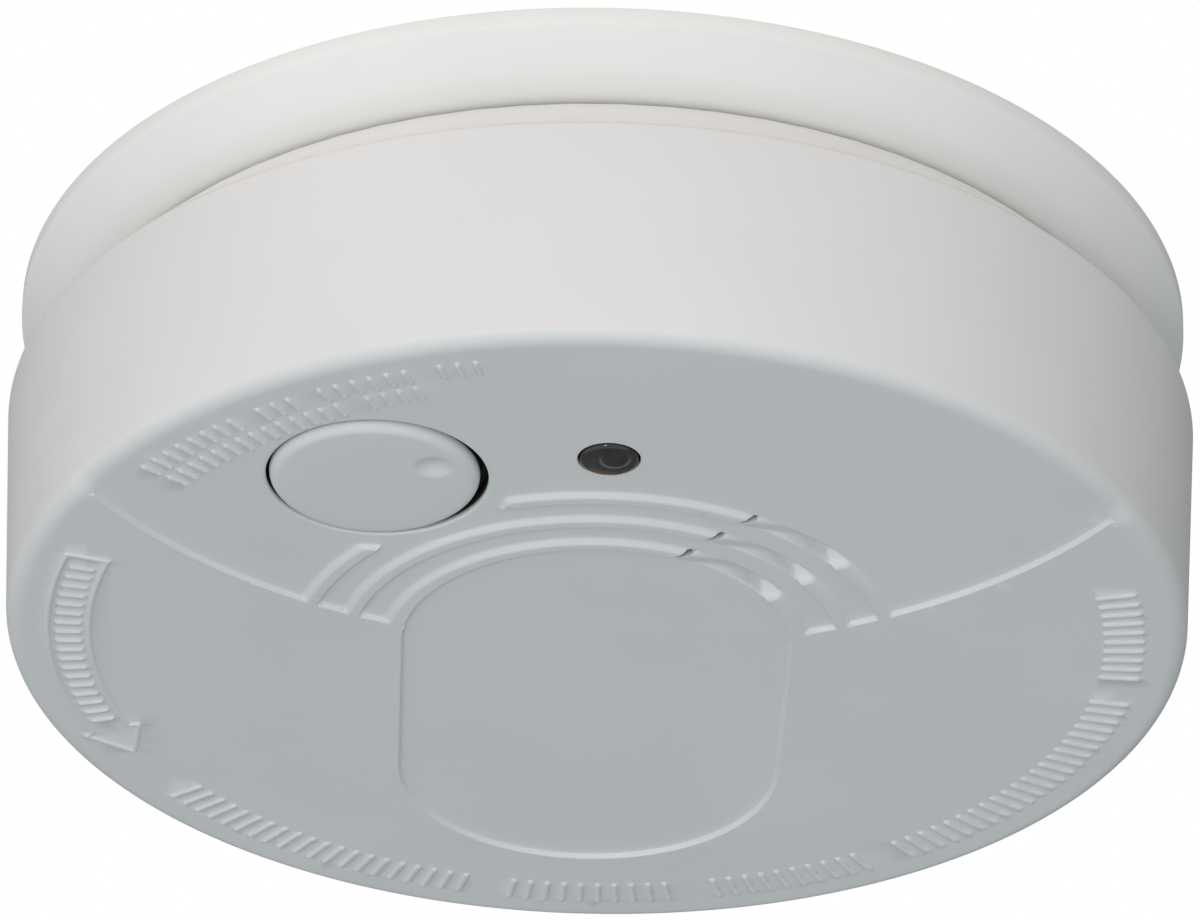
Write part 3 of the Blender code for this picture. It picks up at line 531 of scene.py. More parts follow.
def face_points():
    """Points wherever the face bends, and a loose grid over the rest of it."""
    parts = [wall_rows(arc(STEP_CENTRE, STEP_RADIUS, 20, 160, 0.5))]
    for x in (-PANEL_RADIUS, PANEL_RADIUS):
        parts.append(wall_rows([(x, PANEL_NEAR_Y), (x, PANEL_FAR_Y)]))
    parts.append(wall_rows(arc((0.0, PANEL_FAR_Y), PANEL_RADIUS, 0, 180)))
    parts.append(wall_rows(arc((0.0, PANEL_NEAR_Y), PANEL_RADIUS, 180, 360)))
    parts.append(wall_rows(arc(BUTTON_CENTRE, BUTTON_PAD_RADIUS, 0, 130)))
    for inner, outer, break_angle, end_angle in RIBS:
        parts.append(wall_rows(arc((0.0, 0.0), inner, -175, -5)))
        parts.append(wall_rows(arc((0.0, 0.0), outer, -175, -5), RIB_CROWN))
        # Rows across the rib, close together at both edges of its opening and looser along its scoop.
        middle = (inner + outer) / 2
        across = np.linspace(inner - 0.45, outer + 0.45, 16)
        length = math.radians(end_angle - break_angle) * middle
        bends = [start + 0.05 * k for start in (-0.1, SLIT_WIDTH - 0.1) for k in range(6)]
        along = np.concatenate([bends, [0.35, 0.5, 0.65], np.linspace(SLIT_WIDTH + 0.3, length + 0.5, 44)])
        r, past = np.meshgrid(across, along)
        angle = break_angle + np.degrees((past + RIB_SLANT * (r - middle)) / r)
        parts.append(np.column_stack([c.ravel() for c in polar_grid(r, angle)]))
    for centre, radius, fillet, count in HOLES:
        for share in (0.12, 0.35, 0.65, 1.0, 1.8):
            parts.append(np.array(ring(radius + share * fillet, count, centre)))
    edge = STROKE_EDGE / 2
    for start, end, width in ticks():
        for offset in (-edge, -edge / 3, edge / 3, edge):
            parts.append(rows(capsule(start, end, width / 2 + offset), (0.0,), 0.35))
    parts.append(rows(arrow_path(), (-0.34, -0.25, -0.16, -0.08, 0.0, 0.08, 0.16, 0.25, 0.34), 0.3))
    # Two rings just inside the face's edge, and then the grid.
    for inset, count in ((0.5, ROUND_STEPS), (1.4, ROUND_STEPS // 2)):
        parts.append(np.array(ring(FACE_RADIUS - inset, count)))
    grid = np.arange(-48.0, 48.1, 2.0)
    parts.append(np.column_stack([c.ravel() for c in np.meshgrid(grid, grid)]))
    points = thinned(np.concatenate(parts))
    keep = np.hypot(*points.T) < FACE_RADIUS - 0.3
    for centre, radius, *_ in HOLES:
        keep &= np.hypot(*(points - centre).T) > radius + 0.005
    return points[keep]


def make_front_cover():
    """The cover's shell: the moulded face, its rounded edge, the drafted wall, the rim and the inside."""
    bm = bmesh.new()
    boundary = ring(FACE_RADIUS, ROUND_STEPS)
    loops = [ring(radius, count, centre) for centre, radius, _, count in HOLES]
    corners, triangles = triangulate(boundary, loops, face_points())
    depth = face_depth(*corners.T) - mark_heights(corners)
    add_faces(bm, np.column_stack([corners, FACE_Z + depth]), triangles)

    edge = np.array(boundary)
    lift = face_depth(*edge.T)
    turns = 10
    profile = []
    for i in range(turns + 1):
        angle = math.radians(90.0 * i / turns)
        z = FACE_Z + EDGE_FILLET * (1 - math.cos(angle))
        profile.append((FACE_RADIUS + EDGE_FILLET * math.sin(angle), z, math.cos(angle)))
    foot_z = profile[-1][1]
    rim_z = RIM_Z + RIM_LAP
    for share in (0.33, 0.66, 1.0):
        z = foot_z + (rim_z - RIM_FILLET - foot_z) * share
        radius = WALL_FOOT_RADIUS + (BODY_RADIUS - WALL_FOOT_RADIUS) * share
        profile.append((radius, z))
    for angle in (9, 18, 27, 36, 45):
        turn = math.radians(angle)
        offset = RIM_FILLET * (1 - math.cos(turn))
        profile.append((BODY_RADIUS - offset, rim_z - RIM_FILLET * (1 - math.sin(turn))))
    inner_rim = BODY_RADIUS - WALL_THICKNESS
    inner_foot = WALL_FOOT_RADIUS - WALL_THICKNESS
    ledge_z = rim_z - RIM_LEDGE
    profile += [
        (BODY_RADIUS - 0.45, ledge_z),
        (inner_rim + 0.2, ledge_z),
        (inner_rim, ledge_z - 0.2),
        (inner_foot, FACE_INNER_Z),
    ]
    add_rings(bm, profile, ROUND_STEPS, lift=lift)
    for centre, radius, _, count in HOLES:
        rim = face_depth(*np.array(ring(radius, count, centre)).T)
        wall = [(radius, FACE_Z, 1.0), *[(radius, FACE_Z + deep) for deep in HOLE_RINGS]]
        wall.append((radius, FACE_INNER_Z))
        add_rings(bm, wall, count, centre, lift=rim)
    inside, patches = triangulate(ring(inner_foot, ROUND_STEPS), loops)
    add_faces(bm, np.column_stack([inside, np.full(len(inside), FACE_INNER_Z)]), patches)
    cover = finish_piece("cover_shell", bm, casing)
    # Painted shade, near black, in the slits past each rib's break and down the holes' walls.
    paint_shade(cover, cover_painted_shade)
    return cover


def cover_painted_shade(points):
    """How much painted shade a point of the cover gets: all of it in the slits and down the holes."""
    x, y, z = points.T
    r = np.hypot(x, y)
    angle = np.degrees(np.arctan2(y, x))
    below = z - FACE_Z
    painted_shade = np.zeros(len(points))
    for rib in RIBS:
        inside = (r > rib[0]) & (r < rib[1]) & (below > STEP_DEPTH + 0.15)
        painted_shade = np.maximum(painted_shade, inside * slit(past_break(r, angle, rib)))
    for centre, radius, _, _ in HOLES:
        wall = np.hypot(x - centre[0], y - centre[1]) < radius + 0.01
        painted_shade = np.maximum(painted_shade, wall * (below > HOLE_DARK))
    return painted_shade


def paint_shade(piece, painted_shade):
    """Stores on a piece, for its material, how much painted shade each of its points gets."""
    points = np.array([vertex.co for vertex in piece.data.vertices]) / MM
    attribute = piece.data.attributes.new(PAINTED_SHADE, "FLOAT", "POINT")
    attribute.data.foreach_set("value", painted_shade(points).astype(np.float32))


cover = make_front_cover()
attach(cover, "detector")
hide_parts("front_cover")


# ---------------------------------------------------------------- mounting base
def add_lathe(bm, profile, count):
    """A closed turned body. Its profile starts and ends on the axis."""
    levels = []
    for radius, z in profile:
        if radius:
            levels.append([bm.verts.new((*polar(radius, 360.0 * i / count), z)) for i in range(count)])
        else:
            levels.append([bm.verts.new((0.0, 0.0, z))])
    for low, high in zip(levels, levels[1:]):
        for i in range(count):
            j = (i + 1) % count
            corners = (low[i % len(low)], low[j % len(low)], high[j % len(high)], high[i % len(high)])
            bm.faces.new(dict.fromkeys(corners))


def add_prism(bm, outline, low, high):
    bottom = [bm.verts.new((x, y, low)) for x, y in outline]
    top = [bm.verts.new((x, y, high)) for x, y in outline]
    bm.faces.new(bottom[::-1])
    bm.faces.new(top)
    for i in range(len(outline)):
        j = (i + 1) % len(outline)
        bm.faces.new((bottom[i], bottom[j], top[j], top[i]))


def add_sector(bm, profile, start, end):
    """A profile of (radius, z) points turned through part of a circle, with both ends closed."""
    steps = max(2, math.ceil(end - start))
    levels = []
    for k in range(steps + 1):
        angle = start + (end - start) * k / steps
        levels.append([bm.verts.new((*polar(radius, angle), z)) for radius, z in profile])
    bm.faces.new(levels[0])
    bm.faces.new(levels[-1][::-1])
    for low, high in zip(levels, levels[1:]):
        for i in range(len(profile)):
            j = (i + 1) % len(profile)
            bm.faces.new((low[i], low[j], high[j], high[i]))


def combine(target, operation, bm):
    """Joins a bmesh in millimetres to an object, or cuts it away."""
    bmesh.ops.recalc_face_normals(bm, faces=bm.faces)
    bmesh.ops.scale(bm, vec=(MM, MM, MM), verts=bm.verts)
    mesh = bpy.data.meshes.new("tool")
    bm.to_mesh(mesh)
    bm.free()
    tool = bpy.data.objects.new("tool", mesh)
    bpy.context.scene.collection.objects.link(tool)
    modifier = target.modifiers.new("combine", "BOOLEAN")
    modifier.operation = operation
    modifier.solver = "EXACT"
    modifier.object = tool
    bpy.context.view_layer.update()
    made = bpy.data.meshes.new_from_object(target.evaluated_get(bpy.context.evaluated_depsgraph_get()))
    target.modifiers.clear()
    target.data = made
    bpy.data.objects.remove(tool)
    bpy.data.meshes.remove(mesh)


def rounded(corner, before, after, radius, steps):
    """Points round a corner of a profile, from the way it comes to the way it leaves."""
    turn = before.angle(after)
    reach = radius * math.tan(turn / 2)
    start = corner - before * reach
    inward = Vector((before.y, -before.x))
    if inward.dot(after) < 0:
        inward = -inward
    points = []
    for i in range(steps + 1):
        angle = turn * i / steps
        point = start + inward * radius * (1 - math.cos(angle)) + before * radius * math.sin(angle)
        points.append((point.x, point.y))
    return points


def make_mounting_base():
    """The base: its back rests on the ceiling, and its lip and skirt show."""
    radius, depth = BASE_RADIUS, -BASE_END_Z
    slope = math.atan2(radius - BASE_SKIRT_RADIUS, depth - BASE_LIP)
    cone = Vector((-math.sin(slope), -math.cos(slope)))
    lip_corner = Vector((radius, -BASE_LIP))
    foot_corner = Vector((BASE_SKIRT_RADIUS, -depth))
    profile = [(0.0, 0.0), (radius - 0.35, 0.0), (radius - 0.1, -0.1), (radius, -0.35)]
    profile += rounded(lip_corner, Vector((0.0, -1.0)), cone, BASE_LIP_FILLET, 4)
    profile += [tuple(lip_corner.lerp(foot_corner, share)) for share in (0.3, 0.45, 0.6)]
    profile += rounded(foot_corner, cone, Vector((-1.0, 0.0)), BASE_FOOT_FILLET, 9)
    inner_foot = BASE_SKIRT_RADIUS - BASE_WALL
    inner_top = radius - BASE_RIM
    profile += [(inner_foot + 0.2, -depth), (inner_foot, -depth + 0.2)]
    profile += [(inner_top, -BASE_PLATE), (0.0, -BASE_PLATE)]
    bm = bmesh.new()
    add_lathe(bm, profile, ROUND_STEPS)
    base = finish_piece("base_shell", bm, rear_casing)

    leg_outer = BASE_SKIRT_RADIUS - 0.85
    leg_top = -BASE_PLATE + 0.7
    outside = [(leg_outer, leg_top), (leg_outer, HOOK_FOOT_BOTTOM), (HOOK_FOOT_RADIUS, HOOK_FOOT_BOTTOM)]
    foot = [(HOOK_FOOT_RADIUS, HOOK_FOOT_TOP), (HOOK_LEG_RADIUS, HOOK_FOOT_TOP), (HOOK_LEG_RADIUS, leg_top)]
    hook = outside + foot
    stop = [*outside, (HOOK_FOOT_RADIUS, leg_top)]
    for angle in BAYONET_ANGLES:
        hook_start = angle - BAYONET_HALF_SPAN
        stop_start = angle + BAYONET_HALF_SPAN + 0.5
        spans = ((hook, hook_start, stop_start + 1.0), (stop, stop_start, stop_start + 3.0))
        for shape, start, end in spans:
            bm = bmesh.new()
            add_sector(bm, shape, start, end)
            combine(base, "UNION", bm)
    for side in (-1, 1):
        x = side * KEYHOLE_X
        slot_start = math.degrees(math.acos(KEYHOLE_SHANK_RADIUS / KEYHOLE_HEAD_RADIUS))
        outline = arc((x, 0.0), KEYHOLE_HEAD_RADIUS, 180 - slot_start, 360 + slot_start, 9)
        outline += arc((x, KEYHOLE_LENGTH), KEYHOLE_SHANK_RADIUS, 0, 180, 12)
        bm = bmesh.new()
        add_prism(bm, outline, -BASE_PLATE - 1.0, 1.0)
        combine(base, "DIFFERENCE", bm)
    base.data.shade_smooth()
    base.data.set_sharp_from_angle(angle=SHARP_ANGLE)
    # Painted shade at the skirt's foot, where it meets the shoulder.
    paint_shade(base, base_painted_shade)
    return base


def base_painted_shade(points):
    """How much painted shade a point of the base gets: a little at the skirt's foot, and less above it."""
    above = points[:, 2] - BASE_END_Z
    reach = BASE_SHADE_REACH * (-BASE_END_Z - BASE_LIP)
    return BASE_SHADE * np.clip(1.0 - above / reach, 0.0, 1.0) ** 2


base = make_mounting_base()
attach(base, "base")
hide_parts("mounting_base")


# ---------------------------------------------------------------- test button
def make_test_button():
    """The cap, a little aside in its hole: a rounded edge, a dished spot and a flange behind the face."""
    face_z = button_low.z - 0.15
    play = (-0.22, 0.13)
    centre = (BUTTON_CENTRE[0] + play[0], BUTTON_CENTRE[1] + play[1])
    sides = BUTTON_HOLE[3]
    radius = 8.9
    edge = 1.0
    flange_radius = (button_high.x - button_low.x) / 2
    flange_z = (-30.4, -29.6)
    dish_centre = (BUTTON_CENTRE[0] + 4.75, BUTTON_CENTRE[1] - 2.75)
    dish_radius = 1.75
    dish_depth = 0.42
    boundary = ring(radius - edge, sides, centre)
    points = [ring(dish_radius * k / 10, 8 + 4 * k, dish_centre) for k in range(1, 12)]
    points += [ring(r, 36, centre) for r in (2.5, 5.0)]
    inside = np.concatenate([np.array(loop) for loop in points] + [np.array([dish_centre])])
    inside = inside[np.hypot(*(inside - centre).T) < radius - edge - 0.2]
    corners, triangles = triangulate(boundary, [], thinned(inside))
    away = np.hypot(*(corners - dish_centre).T) / dish_radius
    dish = dish_depth * np.where(away < 1, (1 - np.minimum(away, 1) ** 2) ** 1.5, 0)
    bm = bmesh.new()
    add_faces(bm, np.column_stack([corners, face_z + dish]), triangles)
    profile = []
    for i in range(9):
        turn = math.radians(90.0 * i / 8)
        profile.append((radius - edge + edge * math.sin(turn), face_z + edge * (1 - math.cos(turn))))
    profile += [
        (radius, face_z + edge + 0.15),
        (radius, flange_z[0] - 0.2),
        (radius + 0.2, flange_z[0]),
        (flange_radius, flange_z[0]),
        (flange_radius, flange_z[1]),
        (2.0, flange_z[1]),
        (2.0, button_high.z),
        (AXIS_RADIUS, button_high.z),
    ]
    add_rings(bm, profile, sides, centre)
    cap = finish_piece("button_cap", bm, button_plastic)
    # Painted shade, near black, on the cap's side behind its rounded edge.
    paint_shade(cap, lambda points: (points[:, 2] > face_z + edge + 0.1) * 1.0)
    return cap


cap = make_test_button()
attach(cap, "button")
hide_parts("test_button")


# ---------------------------------------------------------------- the spring behind the button
def make_button_spring():
    """A coil of round wire with a flat half turn at each end."""
    low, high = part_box("button_spring")
    centre = (low + high) / (2 * MM)
    wire_radius = 0.3
    sides = 10
    per_turn = 48
    turns = 4.5
    coil_radius = (high.x - low.x) / (2 * MM) - wire_radius
    foot, top = low.z / MM + wire_radius, high.z / MM - wire_radius
    count = round(turns * per_turn)
    bm = bmesh.new()
    levels = []
    for i in range(count + 1):
        turn = i / per_turn
        z = foot + (top - foot) * min(max((turn - 0.5) / (turns - 1.0), 0.0), 1.0)
        level = []
        for k in range(sides):
            around = 2 * math.pi * k / sides
            x, y = polar(coil_radius + wire_radius * math.cos(around), 360.0 * turn, centre)
            level.append(bm.verts.new((x, y, z + wire_radius * math.sin(around))))
        levels.append(level)
    for first, second in zip(levels, levels[1:]):
        for k in range(sides):
            j = (k + 1) % sides
            bm.faces.new((first[k], first[j], second[j], second[k]))
    bm.faces.new(levels[0])
    bm.faces.new(levels[-1][::-1])
    spring = finish_piece("button_coil", bm, spring_wire)
    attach(spring, "button")
    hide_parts("button_spring")
    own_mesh(spring)


spring_wire = metal("spring_wire", (0.60, 0.60, 0.61), 0.28)
make_button_spring()


# ---------------------------------------------------------------- indicator lamp
def lens_material():
    """Smoked epoxy, nearly black, with painted light: lighter and browner towards its far side, and a painted
    reflection, a pale arc on that side.
    """
    material, nodes, links, shader = new_material("smoked_lens")
    x, y = LAMP_CENTRE
    point = coordinates(nodes, links, "Object")
    # Painted light: the lens's far side lighter and browner, as light through the epoxy.
    side = smooth_range(nodes, links, point["Y"], (y + 0.5) * MM, (y + 1.8) * MM)
    streaks = noise(nodes, links, 500.0, 3.0)
    smoke = ramp(nodes, links, streaks, ((0.030, 0.026, 0.024), (0.055, 0.047, 0.042)))
    lit_amber = ramp(nodes, links, streaks, ((0.060, 0.042, 0.030), (0.160, 0.095, 0.055)))
    body = mixed(nodes, links, side, smoke, lit_amber)
    # A painted reflection: a pale arc, shown only on the lens's far half.
    level = nodes.new("ShaderNodeCombineXYZ")
    for axis in "XY":
        links.new(point[axis], level.inputs[axis])
    away = nodes.new("ShaderNodeVectorMath")
    away.operation = "DISTANCE"
    links.new(level.outputs["Vector"], away.inputs[0])
    away.inputs[1].default_value = ((x + 0.5) * MM, (y - 0.75) * MM, 0.0)
    inner = smooth_range(nodes, links, away.outputs["Value"], 0.00100, 0.00122)
    outer = smooth_range(nodes, links, away.outputs["Value"], 0.00122, 0.00150)
    within = mixed(nodes, links, inner, BLACK, WHITE)
    rim = mixed(nodes, links, outer, within, BLACK)
    across = smooth_range(nodes, links, point["Y"], (y - 1.5) * MM, (y + 0.3) * MM)
    painted_reflection = mixed(nodes, links, across, BLACK, rim)
    links.new(mixed(nodes, links, painted_reflection, body, (0.17, 0.175, 0.165)), shader.inputs["Base Color"])
    add_gloss(nodes, links, shader, noise(nodes, links, 1500.0), 0.03, 0.06)
    links.new(bump(nodes, links, ((streaks, 0.00002),)), shader.inputs["Normal"])
    shader.inputs["IOR"].default_value = 1.5
    return material


def make_lamp():
    """The lens fills its hole, a little crowned, with the narrower lamp and its collar behind it."""
    radius = 2.58
    edge = 0.4
    tip_z = FACE_Z - 0.12
    crown = 0.3
    profile = [(AXIS_RADIUS, tip_z)]
    for share in (0.15, 0.3, 0.45, 0.6, 0.75, 0.9, 1.0):
        profile.append(((radius - edge) * share, tip_z + crown * share**2))
    slope = math.atan2(2 * crown, radius - edge)
    for i in range(1, 9):
        turn = slope + (math.pi / 2 - slope) * i / 8
        rise = edge * (math.cos(slope) - math.cos(turn))
        profile.append((radius - edge + edge * (math.sin(turn) - math.sin(slope)), tip_z + crown + rise))
    radius = profile[-1][0]
    stem_radius = 2.4
    cap_z = FACE_INNER_Z - 0.2
    collar_z = lamp_high.z - 0.8
    collar_radius = (lamp_high.x - lamp_low.x) / 2
    profile += [(radius, cap_z), (stem_radius, cap_z), (stem_radius, collar_z)]
    profile += [(collar_radius, collar_z), (collar_radius, lamp_high.z), (AXIS_RADIUS, lamp_high.z)]
    bm = bmesh.new()
    add_rings(bm, profile, LAMP_HOLE[3], LAMP_CENTRE)
    return finish_piece("lamp_lens", bm, lens_material())


lens = make_lamp()
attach(lens, "detector")
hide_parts("indicator_led")


# ---------------------------------------------------------------- finishes of the pieces that the frame shows
def banded(nodes, links, along, bands):
    """Bands of plain colour, each starting at its own place along the piece."""
    node = nodes.new("ShaderNodeValToRGB")
    node.color_ramp.interpolation = "CONSTANT"
    elements = node.color_ramp.elements
    elements[0].position, elements[1].position = bands[0][0], bands[1][0]
    for start, _ in bands[2:]:
        elements.new(start)
    for element, (_, colour) in zip(elements, bands):
        element.color = (*colour, 1.0)
    links.new(along, node.inputs["Fac"])
    return node.outputs["Color"]


def worn(nodes, links, colour, scale, depth):
    """A colour output, unevenly darkened."""
    patch = ramp(nodes, links, noise(nodes, links, scale, 6.0), ((1.0 - depth,) * 3, WHITE))
    node = nodes.new("ShaderNodeMix")
    node.data_type = "RGBA"
    node.blend_type = "MULTIPLY"
    node.inputs["Factor"].default_value = 1.0
    for socket, layer in zip(MIX_COLOURS, (colour, patch)):
        links.new(layer, node.inputs[socket])
    return node.outputs[MIX_RESULT]


def board_material():
    """Green solder mask over copper tracks, with tinned pads."""
    material, nodes, links, shader = new_material("solder_mask")
    place = nodes.new("ShaderNodeTexCoord")
    tracks = nodes.new("ShaderNodeTexBrick")
    tracks.inputs["Scale"].default_value = 170.0
    tracks.inputs["Mortar Size"].default_value = 0.035
    links.new(place.outputs["Object"], tracks.inputs["Vector"])
    pads = nodes.new("ShaderNodeTexVoronoi")
    pads.inputs["Scale"].default_value = 280.0
    links.new(place.outputs["Object"], pads.inputs["Vector"])
    bare = smooth_range(nodes, links, pads.outputs["Distance"], 0.2, 0.26)
    mask_colours = ((0.012, 0.100, 0.035), (0.030, 0.190, 0.070))
    mask = ramp(nodes, links, tracks.outputs["Fac"], mask_colours, 0.2, 0.8)
    colour = mixed(nodes, links, bare, (0.60, 0.60, 0.58), mask)
    links.new(worn(nodes, links, colour, 300.0, 0.15), shader.inputs["Base Color"])
    links.new(mixed(nodes, links, bare, WHITE, BLACK), shader.inputs["Metallic"])
    add_gloss(nodes, links, shader, noise(nodes, links, 600.0), 0.28, 0.42)
    relief = ((tracks.outputs["Fac"], 0.00003), (bare, 0.00005))
    links.new(bump(nodes, links, relief), shader.inputs["Normal"])
    return material


def banded_material(name, axis, bands, metal_bands, roughness, grain):
    """A piece in bands along one axis of its own box, and metal where metal_bands are white."""
    material, nodes, links, shader = new_material(name)
    along = coordinates(nodes, links, "Generated")[axis]
    colour = banded(nodes, links, along, bands)
    links.new(worn(nodes, links, colour, 350.0, 0.14), shader.inputs["Base Color"])
    links.new(banded(nodes, links, along, metal_bands), shader.inputs["Metallic"])
    add_gloss(nodes, links, shader, noise(nodes, links, 700.0), roughness - 0.05, roughness + 0.06)
    links.new(bump(nodes, links, ((noise(nodes, links, grain), 0.000008),)), shader.inputs["Normal"])
    return material


def resistor_material(axis):
    """A lacquered body with four colour bands, between bare wire ends."""
    wire, lacquer = (0.62, 0.62, 0.63), (0.58, 0.45, 0.28)
    marks = (
        (0.27, (0.16, 0.06, 0.02)),
        (0.38, (0.02, 0.02, 0.02)),
        (0.49, (0.50, 0.05, 0.03)),
        (0.66, (0.62, 0.45, 0.12)),
    )
    bands = [(0.0, wire), (0.17, lacquer)]
    for start, colour in marks:
        bands += [(start, colour), (start + 0.055, lacquer)]
    bands.append((0.83, wire))
    metal_bands = [(0.0, WHITE), (0.17, BLACK), (0.83, WHITE)]
    return banded_material(f"banded_resistor_{axis}", axis, bands, metal_bands, 0.36, 2500.0)


def smoothing_group():
    """Geometry nodes that join split corners and smooth every edge that isn't sharp."""
    group = bpy.data.node_groups.new("smooth_by_angle", "GeometryNodeTree")
    for direction in ("INPUT", "OUTPUT"):
        group.interface.new_socket("Geometry", in_out=direction, socket_type="NodeSocketGeometry")
    nodes, links = group.nodes, group.links
    weld = nodes.new("GeometryNodeMergeByDistance")
    weld.inputs["Distance"].default_value = 2e-6
    plain = nodes.new("GeometryNodeRemoveAttribute")
    plain.inputs["Name"].default_value = "custom_normal"
    angle = nodes.new("GeometryNodeInputMeshEdgeAngle")
    flat = nodes.new("FunctionNodeCompare")
    flat.operation = "LESS_THAN"
    flat.inputs["B"].default_value = SHARP_ANGLE
    links.new(angle.outputs["Unsigned Angle"], flat.inputs["A"])
    faces = nodes.new("GeometryNodeSetShadeSmooth")
    edges = nodes.new("GeometryNodeSetShadeSmooth")
    edges.domain = "EDGE"
    links.new(flat.outputs["Result"], edges.inputs["Shade Smooth"])
    chain = (nodes.new("NodeGroupInput"), weld, plain, faces, edges, nodes.new("NodeGroupOutput"))
    for first, second in zip(chain, chain[1:]):
        links.new(first.outputs[0], second.inputs[0])
    return group


def finish_frame_pieces():
    """Every node that the frame still shows gets its finish by slot, and smooth round faces."""
    sleeve, tin = (0.020, 0.030, 0.085), (0.66, 0.66, 0.67)
    jacket, copper = (0.085, 0.090, 0.105), (0.62, 0.36, 0.20)
    sleeve_bands = ((0.0, tin), (0.03, sleeve), (0.97, tin))
    sleeve_metal = ((0.0, WHITE), (0.03, BLACK), (0.97, WHITE))
    jacket_bands = ((0.0, jacket), (0.78, copper), (0.97, tin))
    jacket_metal = ((0.0, (0.6,) * 3), (0.78, (0.8,) * 3), (0.97, WHITE))
    finishes = {
        "casing": rear_casing,
        "button": button_plastic,
        "board": board_material(),
        "black_plastic": plastic("black_moulding", (0.022, 0.022, 0.024), 0.52, mottle=0.2),
        "steel": metal("plated_steel", (0.64, 0.64, 0.65), 0.24),
        "brass": metal("rolled_brass", (0.80, 0.60, 0.27), 0.26),
        "ceramic": plastic("silvered_ceramic", (0.74, 0.72, 0.67), 0.36, grain=2500.0, mottle=0.12),
        "ferrite": plastic("ferrite", (0.046, 0.045, 0.048), 0.62, grain=1600.0, relief=0.00003, mottle=0.25),
        "capacitor_sleeve": banded_material("capacitor_sleeve", "Z", sleeve_bands, sleeve_metal, 0.3, 2000.0),
        "emitter_epoxy": plastic("tinted_epoxy", (0.28, 0.36, 0.52), 0.14, relief=0.000003, mottle=0.1),
        "photodiode_epoxy": plastic("infrared_epoxy", (0.03, 0.018, 0.03), 0.14, relief=0.000003, mottle=0.3),
        "battery_jacket": banded_material("battery_jacket", "X", jacket_bands, jacket_metal, 0.38, 3000.0),
        "red_insulation": plastic("red_insulation", (0.50, 0.030, 0.030), 0.42, mottle=0.1),
        "black_insulation": plastic("black_insulation", (0.020, 0.020, 0.021), 0.42, mottle=0.2),
    }
    resistors = {axis: resistor_material(axis) for axis in "XY"}
    smoothing = smoothing_group()
    for part in frame["record"]["subparts"]:
        node = frame["nodes"][part["node"]]
        if node.hide_render:
            continue
        if part["material_slot"] == "resistor":
            low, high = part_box(part["node"])
            finish = resistors["X" if high.x - low.x > high.y - low.y else "Y"]
        else:
            finish = finishes[part["material_slot"]]
        node.material_slots[0].material = finish
        node.modifiers.new("smooth", "NODES").node_group = smoothing


finish_frame_pieces()


# ---------------------------------------------------------------- lights, backdrop and camera
# The bright side of the studio: its direction, its colours low and high, and the colour of the dim side.
FRONT_AZIMUTH = -18.0
FRONT_ELEVATION = -11.0
FRONT_LOW = (0.775, 0.835, 0.88)
FRONT_HIGH = (0.925, 0.865, 0.835)
BACK_LIGHT = (0.13, 0.15, 0.155)
# The key light: direction in degrees, distance and diameter in metres, power in watts and the point it faces.
KEY_AZIMUTH = -16.0
KEY_ELEVATION = -25.0
KEY_DISTANCE = 1.2
KEY_SIZE = 0.16
KEY_POWER = 1.8
KEY_COLOUR = (1.03, 1.0, 0.96)
KEY_AIM = Vector((0.0, 0.0, -0.016))
# The camera, in degrees and metres: it looks above CAMERA_CENTRE by CAMERA_TILT times the distance.
CAMERA_AZIMUTH = -1.375
CAMERA_ELEVATION = -30.58
CAMERA_ROLL = -1.139
CAMERA_DISTANCE = 0.65625
CAMERA_CENTRE = Vector((0.0, 0.0, -0.0147))
CAMERA_TILT = 0.00177
CAMERA_LENS = 222.1


def direction(azimuth, elevation):
    """The way towards a place. Azimuth 0 is the near side, and a positive one is to the right."""
    turn, rise = math.radians(azimuth), math.radians(elevation)
    level = math.cos(rise)
    return Vector((math.sin(turn) * level, -math.cos(turn) * level, math.sin(rise)))


def make_key_light():
    """A soft round light on the near side, below the alarm."""
    away = direction(KEY_AZIMUTH, KEY_ELEVATION)
    light = bpy.data.lights.new("key", "AREA")
    light.shape = "DISK"
    light.size = KEY_SIZE
    light.energy = KEY_POWER
    light.color = KEY_COLOUR
    lamp = bpy.data.objects.new("key", light)
    lamp.location = away * KEY_DISTANCE + KEY_AIM
    lamp.rotation_euler = away.to_track_quat("Z", "Y").to_euler()
    lamp.visible_camera = False
    bpy.context.scene.collection.objects.link(lamp)


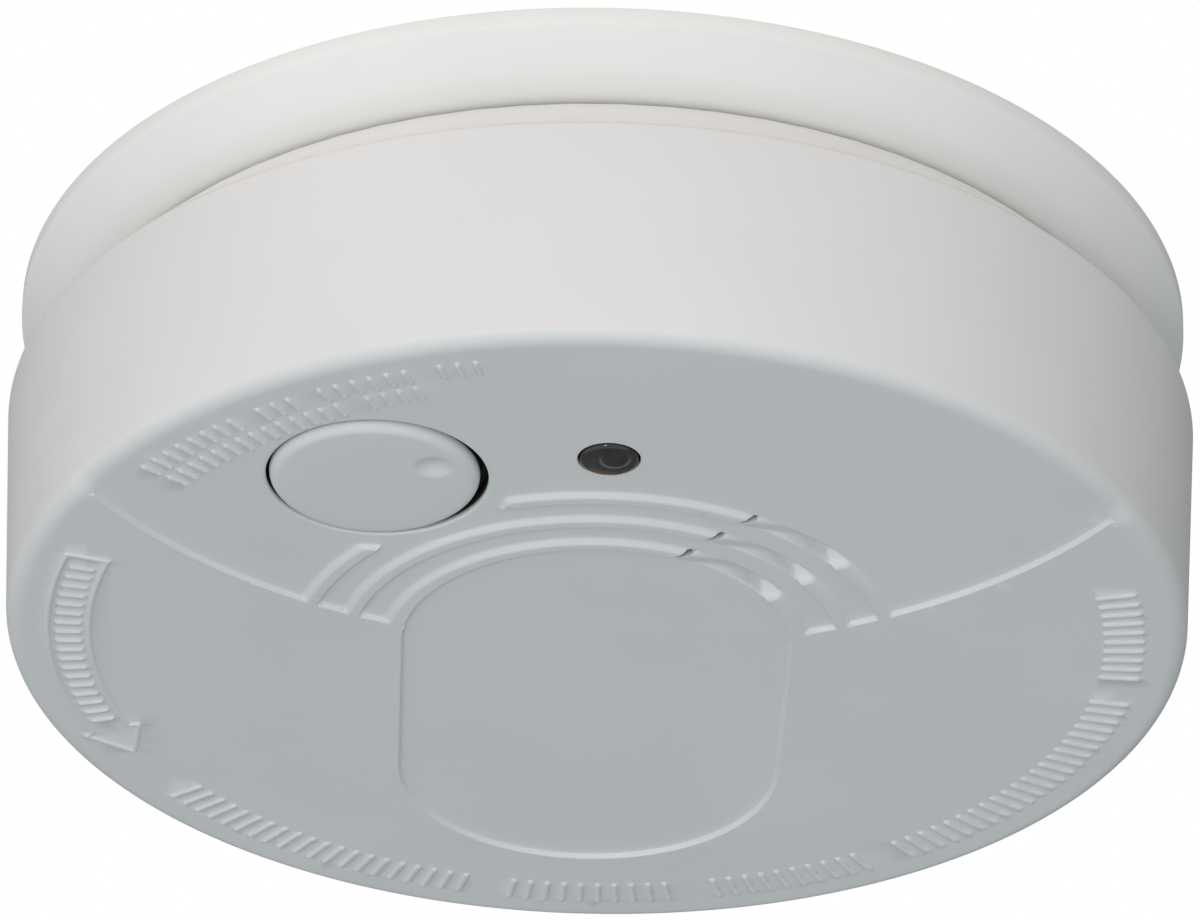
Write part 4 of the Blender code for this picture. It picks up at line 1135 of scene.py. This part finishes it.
def make_world():
    """A studio that is bright all over on the near side, a little to the left, and dim behind."""
    world = bpy.data.worlds.new("studio")
    bpy.context.scene.world = world
    world.use_nodes = True
    nodes, links = world.node_tree.nodes, world.node_tree.links
    place = nodes.new("ShaderNodeTexCoord")
    towards = nodes.new("ShaderNodeVectorMath")
    towards.operation = "DOT_PRODUCT"
    towards.inputs[1].default_value = direction(FRONT_AZIMUTH, FRONT_ELEVATION)
    links.new(place.outputs["Generated"], towards.inputs[0])
    lobe = smooth_range(nodes, links, towards.outputs["Value"], -0.25, 0.25)
    upper = smooth_range(nodes, links, coordinates(nodes, links, "Generated")["Z"], -0.3, 0.3)
    front = mixed(nodes, links, upper, FRONT_LOW, FRONT_HIGH)
    light = mixed(nodes, links, lobe, BACK_LIGHT, front)
    ambient = nodes["Background"]
    links.new(light, ambient.inputs["Color"])
    ambient.inputs["Strength"].default_value = 1.0
    backdrop = nodes.new("ShaderNodeBackground")
    backdrop.inputs["Color"].default_value = (1.0, 1.0, 1.0, 1.0)
    backdrop.inputs["Strength"].default_value = 1.0
    seen = nodes.new("ShaderNodeLightPath")
    mix = nodes.new("ShaderNodeMixShader")
    links.new(seen.outputs["Is Camera Ray"], mix.inputs["Fac"])
    links.new(ambient.outputs["Background"], mix.inputs[1])
    links.new(backdrop.outputs["Background"], mix.inputs[2])
    links.new(mix.outputs["Shader"], nodes["World Output"].inputs["Surface"])


def make_floor():
    """A plain pale floor, a room's height below the ceiling that the alarm hangs from."""
    depth = 2.4
    half = 8.0
    corners = ((-half, -half), (half, -half), (half, half), (-half, half))
    bm = bmesh.new()
    bm.faces.new([bm.verts.new((x, y, -depth)) for x, y in corners])
    mesh = bpy.data.meshes.new("floor")
    bm.to_mesh(mesh)
    bm.free()
    material, nodes, links, shader = new_material("pale_floor")
    tone = ramp(nodes, links, noise(nodes, links, 3.0), ((0.80, 0.80, 0.80), (0.84, 0.84, 0.83)))
    links.new(tone, shader.inputs["Base Color"])
    shader.inputs["Roughness"].default_value = 0.8
    mesh.materials.append(material)
    floor = bpy.data.objects.new("floor", mesh)
    bpy.context.scene.collection.objects.link(floor)
    floor.visible_diffuse = False
    floor.visible_glossy = False
    floor.visible_shadow = False


def make_camera():
    """A long lens that looks up at the alarm from the near side."""
    away = direction(CAMERA_AZIMUTH, CAMERA_ELEVATION)
    position = CAMERA_CENTRE + CAMERA_DISTANCE * away
    right = (-away).cross(Vector((0.0, 0.0, 1.0))).normalized()
    up = right.cross(-away)
    forward = (CAMERA_CENTRE + CAMERA_TILT * CAMERA_DISTANCE * up - position).normalized()
    up = right.cross(forward)
    roll = math.radians(CAMERA_ROLL)
    rolled_right = math.cos(roll) * right - math.sin(roll) * up
    rolled_up = math.sin(roll) * right + math.cos(roll) * up
    camera = bpy.data.cameras.new("camera")
    camera.lens = CAMERA_LENS
    camera.sensor_width = 36.0
    eye = bpy.data.objects.new("camera", camera)
    turn = Matrix((rolled_right, rolled_up, -forward)).transposed().to_4x4()
    eye.matrix_world = Matrix.Translation(position) @ turn
    bpy.context.scene.collection.objects.link(eye)
    bpy.context.scene.camera = eye


make_world()
make_floor()
make_camera()
make_key_light()
bpy.context.scene.view_settings.view_transform = "Standard"
